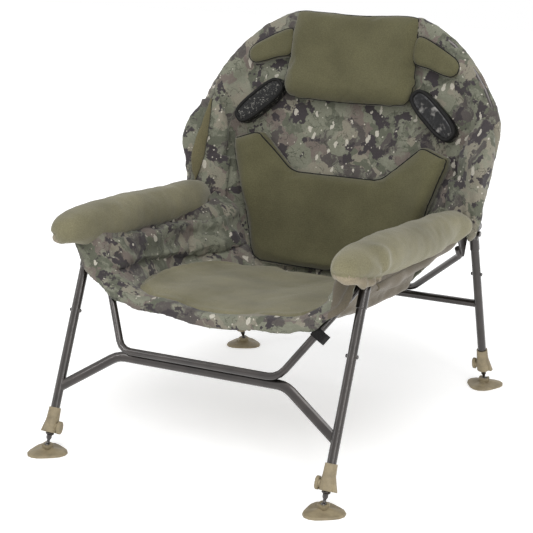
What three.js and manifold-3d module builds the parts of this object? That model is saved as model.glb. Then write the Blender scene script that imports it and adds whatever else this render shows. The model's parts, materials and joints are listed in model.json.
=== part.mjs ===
// A padded fishing chair with four adjustable legs, folding leg frames and a folding back.
// Units are millimetres. X is across the chair, +Y points to its back and +Z is up.
// Heights are above the ground, and depths are counted back from the front foot line
// until the whole chair is centred over its feet.
import * as THREE from 'three';
import { mergeVertices } from 'three/addons/utils/BufferGeometryUtils.js';
import Module from 'manifold-3d';

const wasm = await Module();
wasm.setup();

// Clearances
const weldGap = 0.3; // between two pieces that are welded, sewn or glued together
const sideGap = 2; // on each side of a leg, between the two ears that take it
const backGap = 3; // between the rear edge of the seat and the front of the back panel
const overrun = 4; // how far a cut runs past the surface that it opens
const mergeReach = 0.0005;

// Frame tubes
const legRadius = 10;
const legWall = 1.5;
const railRadius = 10;
const supportRadius = 8;
const hoopRadius = 10;
const tubeSides = 14;
const bendSteps = 3;

// Stance
const legHalfSpacing = 330;
const frontPivotDepth = 194;
const frontPivotHeight = 430;
const frontRake = THREE.MathUtils.degToRad(23.7);
const rearPivotDepth = 758;
const rearPivotHeight = 416;
const rearRake = THREE.MathUtils.degToRad(14.8);

// Leg details, measured down the leg from its pivot
const legTopRise = 10;
const ferruleStart = 16;
const ferruleEnd = 62;
const ferruleRadius = 11.5;
const frontRivetDrop = 158;
const rearRivetDrop = 127;
const rivetRadius = 4;
const rivetStandOut = 3.5;
const boltRadius = 3;
const boltHeadRadius = 6.5;
const boltHeadHeight = 4;

// Crossbars, an oval tube at the front and a round one at the back, measured up the leg
// from the ball's centre
const frontBarEndRise = 127.8;
const frontBarArch = 88; // how far the middle of the front bar is above its ends
const frontBarBendInset = 130; // from the leg to where the front bar bends
const frontBarTall = 22;
const frontBarDeep = 14;
const frontBarBendRadius = 60;
const rearBarRise = 208.3;
const rearBarRadius = 9;

// Support tubes, which hang from the brackets and stop the crossbars. Each one's ends are
// placed from the pivot of its legs.
const supportBendRadius = 38;
const supportEndBendRadius = 12;
const frontSupportInset = 144; // from the leg to where the front tube bends, at its bottom
const frontSupportEndBack = 20.7;
const frontSupportEndDrop = 15.3;
const rearSupportInset = 172;
const rearSupportEndFront = 23.4;
const rearSupportEndDrop = 59.5;
const supportEndLength = 24;
const supportStopLift = 12;

// Side rails, which pass over the pivots of the legs, and the brackets on them
const railOverPivot = 29.5;
const railFrontReach = 112; // from the front pivot to the rail's front end
const railRearGap = 12; // from the rail's rear end to the rear pivot
const earThickness = 3;
const earRim = 2.5; // of an ear's plate round the end of a support tube
const bracketSleeveWall = 3;
const sleeveLength = 46;
const earTabRadius = 13;

// Back frame, on a plane that leans back from its pivots
const backPivotFront = 55; // how far the back's pivot is in front of the rear legs' pivot
const backPivotUnderRail = 34.86;
const backLean = THREE.MathUtils.degToRad(16.3);
const backFlare = 39.7; // how much wider the back is than its foot, on each side
const backHeight = 470;
const hoopInset = 13;
const hoopFootDrop = 14;

// Leg extensions and feet, measured up the leg from the ball's centre
const extensionRadius = legRadius - legWall - weldGap;
const extensionTopShare = 0.52;
const ballHeight = 14.5;
const ballRadius = 8;
const neckRadius = 3.5;
const neckFlare = 2.5;
const neckLength = 13;
const plugRadius = 9.6;
const plugHeight = 5;
const plugTaper = 1;
const collarTopRise = 83;
const collarStepRise = 56;
const collarBottomRise = 29;
const collarTopRadius = 12.8;
const collarTaper = 1;
const collarSkirtRadius = 15;
const collarFinReach = 22;
const collarFinThickness = 9;
const legBottomRise = 46;
const knobRise = 42;
const knobRadius = 9;
const knobWing = 14;
const knobThickness = 8;
const knobStemRadius = 3;
const knobStemLength = 5;
const knobBossHeight = 2;
const knobBevel = 1.5;
const footRadius = 46;
const footLobeShare = 0.11;
const footLobes = 3;
const footRimHeight = 4.5;
const footDomeHeight = 13;
const footSwell = 8;
const footHubRadius = 12.5;
const footHubHeight = 19;
const footMouthAngle = THREE.MathUtils.degToRad(36.5);
const footSlotLength = 12;
const footSlotWidth = 4.5;
const footSlotDepth = 7;

// Arm pads
const armHalfWidth = 50;
const armFrontLap = 12; // from the rail's front end to the pad's
const armRearGap = 96; // from the pad's rear end to the rail's
const armHeight = 80;
const armOverRail = 58.7; // from the middle of the rail's front end to the pad's top
const armNoseLength = 3;
const armNotchGap = 2;
const armSides = 16;

// Seat
const slingFrontSetback = 53; // from the rail's front end to the sling's front edge
const slingRearSetback = 96; // from where its rear edge would start to the rail's rear end
const slingFlapLength = 7; // of the front flaps that lie over the rails
const slingTuckLength = 24; // over which a flap narrows to the sling
const slingNarrowLength = 103;
const slingWidenLength = 30;
const slingFlapLap = 15; // how far a front flap reaches out past the leg
const slingNarrowInset = 34;
const slingInset = 21;
const slingTopLap = 7; // how far the sling's edge reaches up beside the arm pad's underside
const slingFrontDrop = 140; // from the front pivot down to the sling's underside
const slingRearDrop = 169;
const slingFrontRoll = 32;
const slingThickness = 10;
const slingRoundnessShares = [1.65, 1.95]; // at the front and at the rear
const cushionInset = 63; // from the sling's edge to the cushion's, on each side
const cushionSetback = 43; // from the sling's front edge to the cushion's
const cushionLength = 462;
const cushionThickness = 36;
const cushionEdge = 15;
const cushionChannel = 4;
const sidePanelSetback = 47; // from the sling's front edge to the panel's
const sidePanelThickness = 15;
const sidePanelEdge = 4;
const strapWidth = 22;
const strapThickness = 2.2;
const strapTailLength = 32;
const strapPlaceShare = 0.49;

// Back pads, as heights over the back plane
const panelEdgeHeight = 12;
const panelMiddleHeight = -6;
const panelRearDepth = 22;
const panelRimDrop = 5;
const panelHemLow = -40; // the front's raised border fades out below these two heights
const panelHemHigh = 60;
const padSeat = 9; // how far a pad is let into the back panel before its underside is shaped
const lumbarFront = 17;
const lumbarEarLift = 20;
const headrestFront = 22;
const ventFront = 19;
const netFront = 24;
const wingLift = 66;
const wingUndercut = 18;
const wingSkin = 4;

// Places that follow from the sizes above
const ballDropFront = (frontPivotHeight - ballHeight) / Math.cos(frontRake);
const ballDropRear = (rearPivotHeight - ballHeight) / Math.cos(rearRake);
const frontBallDepth = frontPivotDepth - ballDropFront * Math.sin(frontRake);
const rearBallDepth = rearPivotDepth + ballDropRear * Math.sin(rearRake);
const frontBarEndDrop = ballDropFront - frontBarEndRise;
const frontBarMiddleDrop = frontBarEndDrop - frontBarArch;
const rearBarDrop = ballDropRear - rearBarRise;
const earOffset = legRadius + sideGap; // from the middle of a leg to the ears beside it
const supportEndHalf = legHalfSpacing - earOffset - earThickness - weldGap - supportRadius;
const hoopFootHalf = legHalfSpacing + earOffset + earThickness + weldGap + hoopRadius;
const backHalfWidth = hoopFootHalf + backFlare;
const frontBarBendHalf = legHalfSpacing - frontBarBendInset;
const frontSupportBottomHalf = legHalfSpacing - frontSupportInset;
const rearSupportBottomHalf = legHalfSpacing - rearSupportInset;
const slingFlapHalf = legHalfSpacing + slingFlapLap;
const slingNarrowHalf = legHalfSpacing - slingNarrowInset;
const slingHalf = legHalfSpacing - slingInset;
const cushionHalfWidth = slingHalf - cushionInset;
const railFrontDepth = frontPivotDepth - railFrontReach;
const railRearDepth = rearPivotDepth - railRearGap;
const railFall = (frontPivotHeight - rearPivotHeight) / (rearPivotDepth - frontPivotDepth);
const railHeight = (depth) => frontPivotHeight + railOverPivot - (depth - frontPivotDepth) * railFall;
const railFrontHeight = railHeight(railFrontDepth);
const railRearHeight = railHeight(railRearDepth);
const backPivotDepth = rearPivotDepth - backPivotFront;
const backPivotHeight = railHeight(backPivotDepth) - backPivotUnderRail;
const armFrontDepth = railFrontDepth - armFrontLap;
const armRearDepth = railRearDepth - armRearGap;
const armTopHeight = railFrontHeight + armOverRail;
const slingFrontDepth = railFrontDepth + slingFrontSetback;
const slingRearDepth = railRearDepth - slingRearSetback;
const slingFrontFloor = frontPivotHeight - slingFrontDrop;
const slingRearFloor = rearPivotHeight - slingRearDrop;
const cushionFrontDepth = slingFrontDepth + cushionSetback;
const cushionRearDepth = cushionFrontDepth + cushionLength;
const sidePanelFrontDepth = slingFrontDepth + sidePanelSetback;

const steelColour = 0x3d3937;
const khakiColour = 0x93866a;
const oliveBackColour = 0x5f5b3e;
const oliveSeatColour = 0x7d7860;
const camoColour = 0x6d7260;
const taupeColour = 0x7c7565;
const blackColour = 0x1b1b1b;

function finish(colour, roughness, metalness) {
  return new THREE.MeshStandardMaterial({ color: colour, roughness, metalness });
}

const steel = () => finish(steelColour, 0.35, 0.8);
const khaki = () => finish(khakiColour, 0.6, 0);
const fabric = (colour) => finish(colour, 0.95, 0);

// Welds a geometry's shared corners, drops flat triangles and turns its faces outwards.
function closed(geometry) {
  const bare = geometry.clone();
  bare.deleteAttribute('normal');
  bare.deleteAttribute('uv');
  const merged = mergeVertices(bare, mergeReach);
  const corners = merged.index.array;
  const kept = [];
  for (let i = 0; i < corners.length; i += 3) {
    const [a, b, c] = [corners[i], corners[i + 1], corners[i + 2]];
    if (a !== b && b !== c && c !== a) kept.push(a, b, c);
  }
  const place = merged.attributes.position;
  const [p, q, r] = [new THREE.Vector3(), new THREE.Vector3(), new THREE.Vector3()];
  let volume = 0;
  for (let i = 0; i < kept.length; i += 3) {
    p.fromBufferAttribute(place, kept[i]);
    q.fromBufferAttribute(place, kept[i + 1]);
    r.fromBufferAttribute(place, kept[i + 2]);
    volume += p.dot(q.cross(r));
  }
  if (volume < 0) kept.reverse();
  merged.setIndex(kept);
  return merged;
}

function solid(geometry) {
  const g = closed(geometry);
  return new wasm.Manifold(new wasm.Mesh({
    numProp: 3,
    vertProperties: new Float32Array(g.attributes.position.array),
    triVerts: new Uint32Array(g.index.array),
  }));
}

function geometryOf(body) {
  const mesh = body.getMesh();
  const geometry = new THREE.BufferGeometry();
  geometry.setAttribute('position', new THREE.BufferAttribute(mesh.vertProperties.slice(), 3));
  geometry.setIndex(new THREE.BufferAttribute(mesh.triVerts.slice(), 1));
  geometry.userData.whole = true;
  return geometry;
}

function cut(geometry, ...cutters) {
  return geometryOf(cutters.reduce((body, cutter) => body.subtract(solid(cutter)), solid(geometry)));
}

function join(...geometries) {
  return geometryOf(geometries.map(solid).reduce((body, other) => body.add(other)));
}

function mesh(name, geometry, material) {
  const whole = geometry.userData.whole ? geometry : closed(geometry);
  whole.computeVertexNormals();
  const piece = new THREE.Mesh(whole, material);
  piece.name = name;
  return piece;
}

// A tube's centre line, with one ring at each of its points
class Bend extends THREE.Curve {
  constructor(points) {
    super();
    this.points = points;
  }
  getPoint(share, target = new THREE.Vector3()) {
    const last = this.points.length - 1;
    const from = Math.min(Math.floor(share * last), last - 1);
    return target.lerpVectors(this.points[from], this.points[from + 1], share * last - from);
  }
  getUtoTmapping(share) {
    return share;
  }
}

// An oval ring of points. Roundness 2 is an ellipse, and more is squarer.
function oval(halfX, halfY, sides, roundness = 2) {
  const points = [];
  for (let i = 0; i < sides; i += 1) {
    const turn = (2 * Math.PI * i) / sides;
    const [c, s] = [Math.cos(turn), Math.sin(turn)];
    const x = halfX * Math.sign(c) * Math.abs(c) ** (2 / roundness);
    const y = halfY * Math.sign(s) * Math.abs(s) ** (2 / roundness);
    points.push(new THREE.Vector2(x, y));
  }
  return points;
}

function tube(points, section) {
  const shape = new THREE.Shape(section);
  const steps = points.length - 1;
  const extrudePath = new Bend(points);
  return new THREE.ExtrudeGeometry(shape, { steps, extrudePath, bevelEnabled: false });
}

// A straight round bar between two points
function rod(from, to, radius, sides = tubeSides) {
  return tube([from, to], oval(radius, radius, sides));
}

const at = (x, y, z) => new THREE.Vector3(x, y, z);

// A line through points, with each corner rounded to a radius
function rounded(points, radius, steps = bendSteps) {
  const line = [points[0]];
  for (let i = 1; i < points.length - 1; i += 1) {
    const into = points[i].clone().sub(points[i - 1]).normalize();
    const out = points[i + 1].clone().sub(points[i]).normalize();
    const angle = into.angleTo(out);
    const reach = radius * Math.tan(angle / 2);
    const start = points[i].clone().addScaledVector(into, -reach);
    const inward = out.clone().addScaledVector(into, -out.dot(into)).normalize();
    const centre = start.clone().addScaledVector(inward, radius);
    for (let k = 0; k <= steps; k += 1) {
      const turn = (angle * k) / steps;
      const point = centre.clone().addScaledVector(inward, -radius * Math.cos(turn));
      line.push(point.addScaledVector(into, radius * Math.sin(turn)));
    }
  }
  line.push(points[points.length - 1]);
  return line;
}

// A closed skin from rings of points. Each ring has as many points as the next.
function loft(rings) {
  const places = [];
  const corners = [];
  const count = rings[0].length;
  rings.forEach((ring) => ring.forEach((p) => places.push(p.x, p.y, p.z)));
  for (let r = 0; r < rings.length - 1; r += 1) {
    for (let i = 0; i < count; i += 1) {
      const [a, b] = [r * count + i, r * count + ((i + 1) % count)];
      corners.push(a, b, b + count, a, b + count, a + count);
    }
  }
  const geometry = new THREE.BufferGeometry();
  geometry.setAttribute('position', new THREE.Float32BufferAttribute(places, 3));
  geometry.setIndex(corners);
  return geometry;
}

// A pad between two skins over one outline. Each skin gives a point for a share of the way
// from the middle to the edge, and for the place on the outline.
function pad(outline, middle, ringShares, lower, upper) {
  const skin = (side) => (share) => outline.map((p) => {
    const u = middle.x + (p.x - middle.x) * share;
    const v = middle.y + (p.y - middle.y) * share;
    return side(u, v, share);
  });
  const down = [...ringShares].reverse();
  return loft([...ringShares.map(skin(lower)), ...down.map(skin(upper))]);
}

// A sheet between two skins over a rectangle of shares from 0 to 1
function sheet(across, along, lower, upper) {
  const rings = [];
  for (let j = 0; j <= along; j += 1) {
    const ring = [];
    for (let i = 0; i <= across; i += 1) ring.push(lower(i / across, j / along));
    for (let i = across; i >= 0; i -= 1) ring.push(upper(i / across, j / along));
    rings.push(ring);
  }
  const body = loft(rings);
  const count = rings[0].length;
  const corners = [...body.index.array];
  for (let i = 0; i < across; i += 1) {
    const [a, b, c, d] = [i, i + 1, count - 2 - i, count - 1 - i];
    corners.push(a, c, b, a, d, c);
    const far = count * along;
    corners.push(far + a, far + b, far + c, far + a, far + c, far + d);
  }
  body.setIndex(corners);
  return body;
}

// 0 at the first value and 1 at the second, with a smooth rise between them
function smooth(from, to, value) {
  const share = THREE.MathUtils.clamp((value - from) / (to - from), 0, 1);
  return share * share * (3 - 2 * share);
}

// A smooth closed outline through points, one half of which is given and mirrored across X
function mirroredOutline(halfPoints, count) {
  const mirrored = [...halfPoints].reverse().filter((p) => p.x !== 0);
  const all = [...halfPoints, ...mirrored.map((p) => new THREE.Vector2(-p.x, p.y))];
  const curve = new THREE.CatmullRomCurve3(all.map((p) => at(p.x, p.y, 0)), true, 'centripetal');
  return curve.getSpacedPoints(count).slice(0, count).map((p) => new THREE.Vector2(p.x, p.y));
}

const flat = (x, y) => new THREE.Vector2(x, y);

// Places on the chair

// A point of the back, from its place on the back plane and its height over that plane
function backPlace(across, up, over) {
  return at(
    across,
    backPivotDepth + up * Math.sin(backLean) - over * Math.cos(backLean),
    backPivotHeight + up * Math.cos(backLean) + over * Math.sin(backLean),
  );
}

// Feet

function footReach(angle) {
  const wave = 1 + footLobeShare * Math.cos(footLobes * angle);
  return (footRadius * wave) / (1 + footLobeShare);
}

// A domed foot whose middle holds the ball. The origin is the ball's centre.
function footGeometry(valley) {
  const rings = [];
  const sides = 21;
  const ringShares = [1, 0.97, 0.8, 0.62, 0.45, footHubRadius / footRadius];
  const ring = (share, height) => {
    const points = [];
    for (let i = 0; i < sides; i += 1) {
      const turn = (2 * Math.PI * i) / sides;
      const lobe = footReach(turn - valley + Math.PI / footLobes);
      const reach = THREE.MathUtils.lerp(footHubRadius, lobe, smooth(0, 1, share));
      const radius = share > ringShares[5] ? reach * share : footHubRadius * share / ringShares[5];
      const wave = share * (1 - share) * Math.cos(footLobes * (turn - valley) + Math.PI);
      const z = share === 1 ? height : height + footSwell * wave;
      points.push(at(radius * Math.cos(turn), radius * Math.sin(turn), z - ballHeight));
    }
    return points;
  };
  rings.push(ring(0, 0), ring(1, 0));
  ringShares.forEach((share, i) => {
    const dome = footRimHeight + (1 - share) ** 1.3 * footDomeHeight;
    const rise = i === 0 ? footRimHeight * 0.6 : dome;
    rings.push(ring(share, rise));
  });
  rings.push(ring(footHubRadius / footRadius, footHubHeight), ring(0, footHubHeight));
  const slots = [-1, 1].map((side) => {
    const slot = new THREE.BoxGeometry(footSlotWidth, footSlotLength, footSlotDepth * 2);
    const sunk = footHubHeight - ballHeight - footSlotDepth / 2;
    slot.translate(side * (footHubRadius + footSlotWidth), 0, sunk);
    return slot.rotateZ(valley);
  });
  const pocket = new THREE.SphereGeometry(ballRadius + weldGap, 8, 6);
  const mouthTop = footHubHeight - ballHeight + overrun;
  const mouthRadius = neckRadius / Math.cos(footMouthAngle);
  const mouth = new THREE.LatheGeometry([
    flat(0, 0),
    flat(mouthRadius, 0),
    flat(mouthRadius + mouthTop * Math.tan(footMouthAngle), mouthTop),
    flat(0, mouthTop),
  ], 8).rotateX(Math.PI / 2);
  return cut(loft(rings), pocket, mouth, ...slots);
}

// One leg, its collar, knob, extension and foot, in the leg's own frame: the pivot is the
// origin and the leg runs down. Inward is the side of the chair's middle.

function hollowTube(outer, inner, top, bottom) {
  const ferrule = [flat(ferruleRadius, -ferruleEnd), flat(ferruleRadius, -ferruleStart)];
  return new THREE.LatheGeometry([
    flat(inner, -bottom),
    flat(outer, -bottom),
    flat(outer, -ferruleEnd),
    ...ferrule,
    flat(outer, -ferruleStart),
    flat(outer, top),
    flat(inner, top),
    flat(inner, -bottom),
  ], tubeSides).rotateX(Math.PI / 2);
}

function legGeometry(ballDrop, rivetDrop) {
  const leg = hollowTube(legRadius, legRadius - legWall, legTopRise, ballDrop - legBottomRise);
  const boltHole = rod(at(-legRadius * 2, 0, 0), at(legRadius * 2, 0, 0), boltRadius + weldGap, 8);
  const reach = legRadius + rivetStandOut;
  const rivet = rod(at(-reach, 0, -rivetDrop), at(reach, 0, -rivetDrop), rivetRadius, 8);
  return join(cut(leg, boltHole), rivet);
}

function collarGeometry(ballDrop, inward) {
  const collarTopDrop = ballDrop - collarTopRise;
  const collarStepDrop = ballDrop - collarStepRise;
  const collarBottomDrop = ballDrop - collarBottomRise;
  const legBottomDrop = ballDrop - legBottomRise;
  const knobDrop = ballDrop - knobRise;
  const profile = [
    flat(extensionRadius + weldGap, -collarBottomDrop),
    flat(collarSkirtRadius, -collarBottomDrop),
    flat(collarSkirtRadius, -collarStepDrop - overrun),
    flat(collarTopRadius + collarTaper, -collarStepDrop + overrun),
    flat(collarTopRadius, -collarTopDrop),
    flat(legRadius + weldGap, -collarTopDrop),
    flat(legRadius + weldGap, -legBottomDrop - weldGap),
    flat(extensionRadius + weldGap, -legBottomDrop - weldGap),
    flat(extensionRadius + weldGap, -collarBottomDrop),
  ];
  const sleeve = new THREE.LatheGeometry(profile, tubeSides).rotateX(Math.PI / 2);
  const finTop = -collarStepDrop + overrun;
  const fin = new THREE.Shape([
    flat(-inward * collarTopRadius, finTop),
    flat(-inward * collarFinReach, -collarBottomDrop),
    flat(-inward * collarTopRadius, -collarBottomDrop),
  ]);
  const finPlate = new THREE.ExtrudeGeometry(fin, { depth: collarFinThickness, bevelEnabled: false });
  finPlate.translate(0, 0, -collarFinThickness / 2).rotateX(Math.PI / 2);
  const bossEnd = inward * (collarSkirtRadius + knobBossHeight);
  const bossRoot = inward * collarTopRadius;
  const boss = rod(at(bossRoot, 0, -knobDrop), at(bossEnd, 0, -knobDrop), knobRadius, 12);
  const stemRoot = bossEnd - inward * (knobStemLength + weldGap);
  const stemHole = rod(
    at(stemRoot, 0, -knobDrop),
    at(bossEnd + inward * overrun, 0, -knobDrop),
    knobStemRadius + weldGap,
    12,
  );
  const core = new THREE.LatheGeometry([
    flat(0, -collarBottomDrop - overrun),
    flat(extensionRadius + weldGap, -collarBottomDrop - overrun),
    flat(extensionRadius + weldGap, -legBottomDrop - weldGap),
    flat(legRadius + weldGap, -legBottomDrop - weldGap),
    flat(legRadius + weldGap, -collarTopDrop + overrun),
    flat(0, -collarTopDrop + overrun),
  ], tubeSides).rotateX(Math.PI / 2);
  return cut(join(sleeve, finPlate, boss), core, stemHole);
}

function knobGeometry(ballDrop, inward) {
  const outline = oval(knobRadius, knobWing, 14, 2.4);
  const face = collarSkirtRadius + knobBossHeight + weldGap;
  const grip = new THREE.ExtrudeGeometry(new THREE.Shape(outline), {
    depth: knobThickness - knobBevel * 2,
    bevelEnabled: true,
    bevelThickness: knobBevel,
    bevelSize: knobBevel,
    bevelSegments: 1,
    bevelOffset: -knobBevel,
  });
  grip.rotateY(Math.PI / 2).rotateX(Math.PI / 2).translate(face + knobBevel, 0, 0);
  const stem = rod(at(face - knobStemLength, 0, 0), at(face + knobBevel, 0, 0), knobStemRadius, 12);
  const knob = join(grip, stem);
  if (inward < 0) knob.rotateZ(Math.PI);
  return knob.translate(0, 0, knobRise - ballDrop);
}

function extensionGeometry(ballDrop) {
  const plugTop = ballDrop - collarBottomRise + weldGap;
  const neckTop = ballDrop - neckLength - overrun;
  const extensionTop = ballDrop * (1 - extensionTopShare);
  const neckRoot = plugTop + plugTaper;
  return join(
    new THREE.LatheGeometry([
      flat(0, -plugTop - plugHeight),
      flat(plugRadius - plugTaper * 2, -plugTop - plugHeight),
      flat(plugRadius, -plugTop - plugHeight / 2),
      flat(plugRadius - plugTaper, -plugTop),
      flat(extensionRadius, -plugTop),
      flat(extensionRadius, -extensionTop),
      flat(0, -extensionTop),
    ], tubeSides).rotateX(Math.PI / 2),
    new THREE.LatheGeometry([
      flat(0, -ballDrop),
      flat(neckRadius, -ballDrop),
      flat(neckRadius, -ballDrop + neckLength),
      flat(neckRadius + neckFlare, -neckTop),
      flat(neckRadius + neckFlare, -neckRoot),
      flat(0, -neckRoot),
    ], 8).rotateX(Math.PI / 2),
    new THREE.SphereGeometry(ballRadius - weldGap * 2, 8, 6).translate(0, 0, -ballDrop),
  );
}

function legFrame(end, depth, height, turn, ballDrop, rivetDrop, bar, valleys) {
  const frame = new THREE.Group();
  frame.position.set(0, depth, height);
  frame.rotation.x = turn;
  frame.add(bar);
  [['left', -1], ['right', 1]].forEach(([side, sign], i) => {
    const corner = new THREE.Group();
    corner.position.x = sign * legHalfSpacing;
    const name = `${end}_${side}`;
    const foot = mesh(`${name}_mud_foot`, footGeometry(valleys[i]), khaki());
    foot.position.z = -ballDrop;
    foot.rotation.x = -turn;
    corner.add(
      mesh(`${name}_leg_tube`, legGeometry(ballDrop, rivetDrop), steel()),
      mesh(`${name}_leg_collar`, collarGeometry(ballDrop, -sign), khaki()),
      mesh(`${name}_clamp_knob`, knobGeometry(ballDrop, -sign), khaki()),
      mesh(`${name}_leg_extension`, extensionGeometry(ballDrop), steel()),
      foot,
    );
    frame.add(corner);
  });
  return frame;
}

// The front crossbar dips from its middle down to the legs.
function frontBar() {
  const end = legHalfSpacing;
  const points = [
    at(-end, -frontBarEndDrop, 0),
    at(-frontBarBendHalf, -frontBarMiddleDrop, 0),
    at(frontBarBendHalf, -frontBarMiddleDrop, 0),
    at(end, -frontBarEndDrop, 0),
  ];
  const section = oval(frontBarDeep / 2, frontBarTall / 2, 12, 2.6);
  const bar = tube(rounded(points, frontBarBendRadius), section).rotateX(Math.PI / 2);
  return mesh('front_crossbar', cut(bar, ...legSockets()), steel());
}

function rearBar() {
  const end = at(legHalfSpacing, 0, -rearBarDrop);
  const bar = rod(at(-end.x, 0, end.z), end, rearBarRadius);
  return mesh('rear_crossbar', cut(bar, ...legSockets()), steel());
}

// Where the legs pass, so that a bar ends on their round sides
function legSockets() {
  const radius = legRadius + weldGap;
  return [-1, 1].map((side) => join(
    rod(at(side * legHalfSpacing, 0, 0), at(side * legHalfSpacing, 0, -ballDropRear), radius),
    new THREE.BoxGeometry(radius, radius * 2, ballDropRear)
      .translate(side * (legHalfSpacing + radius / 2), 0, -ballDropRear / 2),
  ));
}

// Where the middle of a support tube lies over its crossbar, as a depth and a height, and
// where its ends meet the brackets
function frontSupportFoot() {
  const along = frontBarMiddleDrop - supportStopLift;
  const over = frontBarDeep / 2 + supportRadius + weldGap;
  return flat(
    frontPivotDepth - along * Math.sin(frontRake) - over * Math.cos(frontRake),
    frontPivotHeight - along * Math.cos(frontRake) + over * Math.sin(frontRake),
  );
}

function rearSupportFoot() {
  const along = rearBarDrop - supportStopLift;
  const over = Math.sqrt((rearBarRadius + supportRadius + weldGap) ** 2 - supportStopLift ** 2);
  return flat(
    rearPivotDepth + along * Math.sin(rearRake) + over * Math.cos(rearRake),
    rearPivotHeight - along * Math.cos(rearRake) + over * Math.sin(rearRake),
  );
}

function frontSupportEnd() {
  return flat(frontPivotDepth + frontSupportEndBack, frontPivotHeight - frontSupportEndDrop);
}

function rearSupportEnd() {
  return flat(rearPivotDepth - rearSupportEndFront, rearPivotHeight - rearSupportEndDrop);
}

// A support tube lies over its crossbar and rises to the two inner ears.
function supportTube(name, bottomHalf, foot, end) {
  const length = foot.distanceTo(end);
  const rise = length - supportEndLength / 2;
  const points = [
    at(-supportEndHalf, rise + supportEndLength, 0),
    at(-supportEndHalf, rise, 0),
    at(-bottomHalf, 0, 0),
    at(bottomHalf, 0, 0),
    at(supportEndHalf, rise, 0),
    at(supportEndHalf, rise + supportEndLength, 0),
  ];
  const line = [
    points[0],
    ...rounded(points.slice(0, 3), supportEndBendRadius, 2).slice(1, -1),
    ...rounded(points.slice(1, 5), supportBendRadius).slice(1, -1),
    ...rounded(points.slice(3), supportEndBendRadius, 2).slice(1, -1),
    points[5],
  ];
  const piece = mesh(name, tube(line, oval(supportRadius, supportRadius, 12)), steel());
  piece.position.set(0, foot.x, foot.y);
  piece.rotation.x = end.clone().sub(foot).angle();
  return piece;
}

function supports() {
  return [
    supportTube('front_support_tube', frontSupportBottomHalf, frontSupportFoot(), frontSupportEnd()),
    supportTube('rear_support_tube', rearSupportBottomHalf, rearSupportFoot(), rearSupportEnd()),
  ];
}

// A bracket: a sleeve on the rail and two ears that take the leg between them
function bracket(name, side, sleeveStart, innerEar, outerEar, holes) {
  const centre = side * legHalfSpacing;
  const ear = (points, inner) => {
    const shape = new THREE.Shape(points);
    const plate = new THREE.ExtrudeGeometry(shape, { depth: earThickness, bevelEnabled: false });
    plate.rotateY(Math.PI / 2).rotateX(Math.PI / 2);
    const offset = inner ? -side * earOffset : side * earOffset;
    const start = centre + offset + (offset < 0 ? -earThickness : 0);
    return plate.translate(start, 0, 0);
  };
  const from = at(centre, sleeveStart, railHeight(sleeveStart));
  const to = at(centre, sleeveStart + sleeveLength, railHeight(sleeveStart + sleeveLength));
  const past = to.clone().sub(from).setLength(overrun);
  const sleeveRadius = railRadius + weldGap + bracketSleeveWall;
  const sleeve = rod(from, to, sleeveRadius);
  const bore = rod(from.clone().sub(past), to.clone().add(past), railRadius + weldGap);
  const reach = earOffset + earThickness + overrun;
  const bolts = holes.map(([depth, height]) => rod(
    at(centre - reach, depth, height),
    at(centre + reach, depth, height),
    boltRadius + weldGap,
    8,
  ));
  const body = join(sleeve, ear(innerEar, true), ear(outerEar, false));
  return mesh(name, cut(body, bore, ...bolts), steel());
}

// An arc of an ear's edge round a hole
function tabArc(depth, height, radius, startDegrees, endDegrees, steps = 5) {
  const points = [];
  for (let i = 0; i <= steps; i += 1) {
    const turn = THREE.MathUtils.degToRad(THREE.MathUtils.lerp(startDegrees, endDegrees, i / steps));
    points.push(flat(depth + radius * Math.cos(turn), height + radius * Math.sin(turn)));
  }
  return points;
}

function brackets() {
  const frontStart = frontPivotDepth - sleeveLength / 2;
  const frontEnd = frontPivotDepth + sleeveLength / 2;
  const frontTop = railHeight(frontPivotDepth);
  const frontOuter = [
    flat(frontStart, frontTop),
    ...tabArc(frontPivotDepth, frontPivotHeight, earTabRadius, 200, 340),
    flat(frontEnd, frontTop),
  ];
  const tabRadius = supportRadius + earRim;
  const frontTube = frontSupportEnd();
  const frontInner = [
    flat(frontStart, frontTop),
    ...tabArc(frontPivotDepth, frontPivotHeight, earTabRadius, 200, 260, 3),
    ...tabArc(frontTube.x, frontTube.y, tabRadius, 250, 360, 4),
    flat(frontEnd, frontTop),
  ];
  const rearStart = railRearDepth - sleeveLength;
  const rearTop = railHeight(rearStart);
  const rearOuter = [
    flat(rearStart, rearTop),
    ...tabArc(backPivotDepth, backPivotHeight, earTabRadius, 180, 260),
    ...tabArc(rearPivotDepth, rearPivotHeight, earTabRadius, 280, 390),
    flat(railRearDepth, rearTop),
  ];
  const rearTube = rearSupportEnd();
  const rearInner = [
    flat(rearStart, rearTop),
    ...tabArc(backPivotDepth, backPivotHeight, earTabRadius, 180, 230, 3),
    ...tabArc(rearTube.x, rearTube.y, tabRadius, 180, 300),
    ...tabArc(rearPivotDepth, rearPivotHeight, earTabRadius, 300, 390),
    flat(railRearDepth, rearTop),
  ];
  const frontHoles = [[frontPivotDepth, frontPivotHeight]];
  const rearHoles = [[rearPivotDepth, rearPivotHeight], [backPivotDepth, backPivotHeight]];
  const pieces = [];
  [['left', -1], ['right', 1]].forEach(([side, sign]) => {
    pieces.push(
      bracket(`front_${side}_bracket`, sign, frontStart, frontInner, frontOuter, frontHoles),
      bracket(`rear_${side}_bracket`, sign, rearStart, rearInner, rearOuter, rearHoles),
    );
  });
  return pieces;
}

// A bolt with a head on one end and a nut on the other
function bolt(name, from, to, depth, height) {
  const out = Math.sign(to - from);
  const shank = rod(at(from, depth, height), at(to, depth, height), boltRadius, 8);
  const head = rod(
    at(to - out * boltHeadHeight, depth, height),
    at(to, depth, height),
    boltHeadRadius,
    10,
  );
  const nut = rod(
    at(from, depth, height),
    at(from + out * boltHeadHeight, depth, height),
    boltHeadRadius,
    6,
  );
  return mesh(name, join(shank, head, nut), steel());
}

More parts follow.
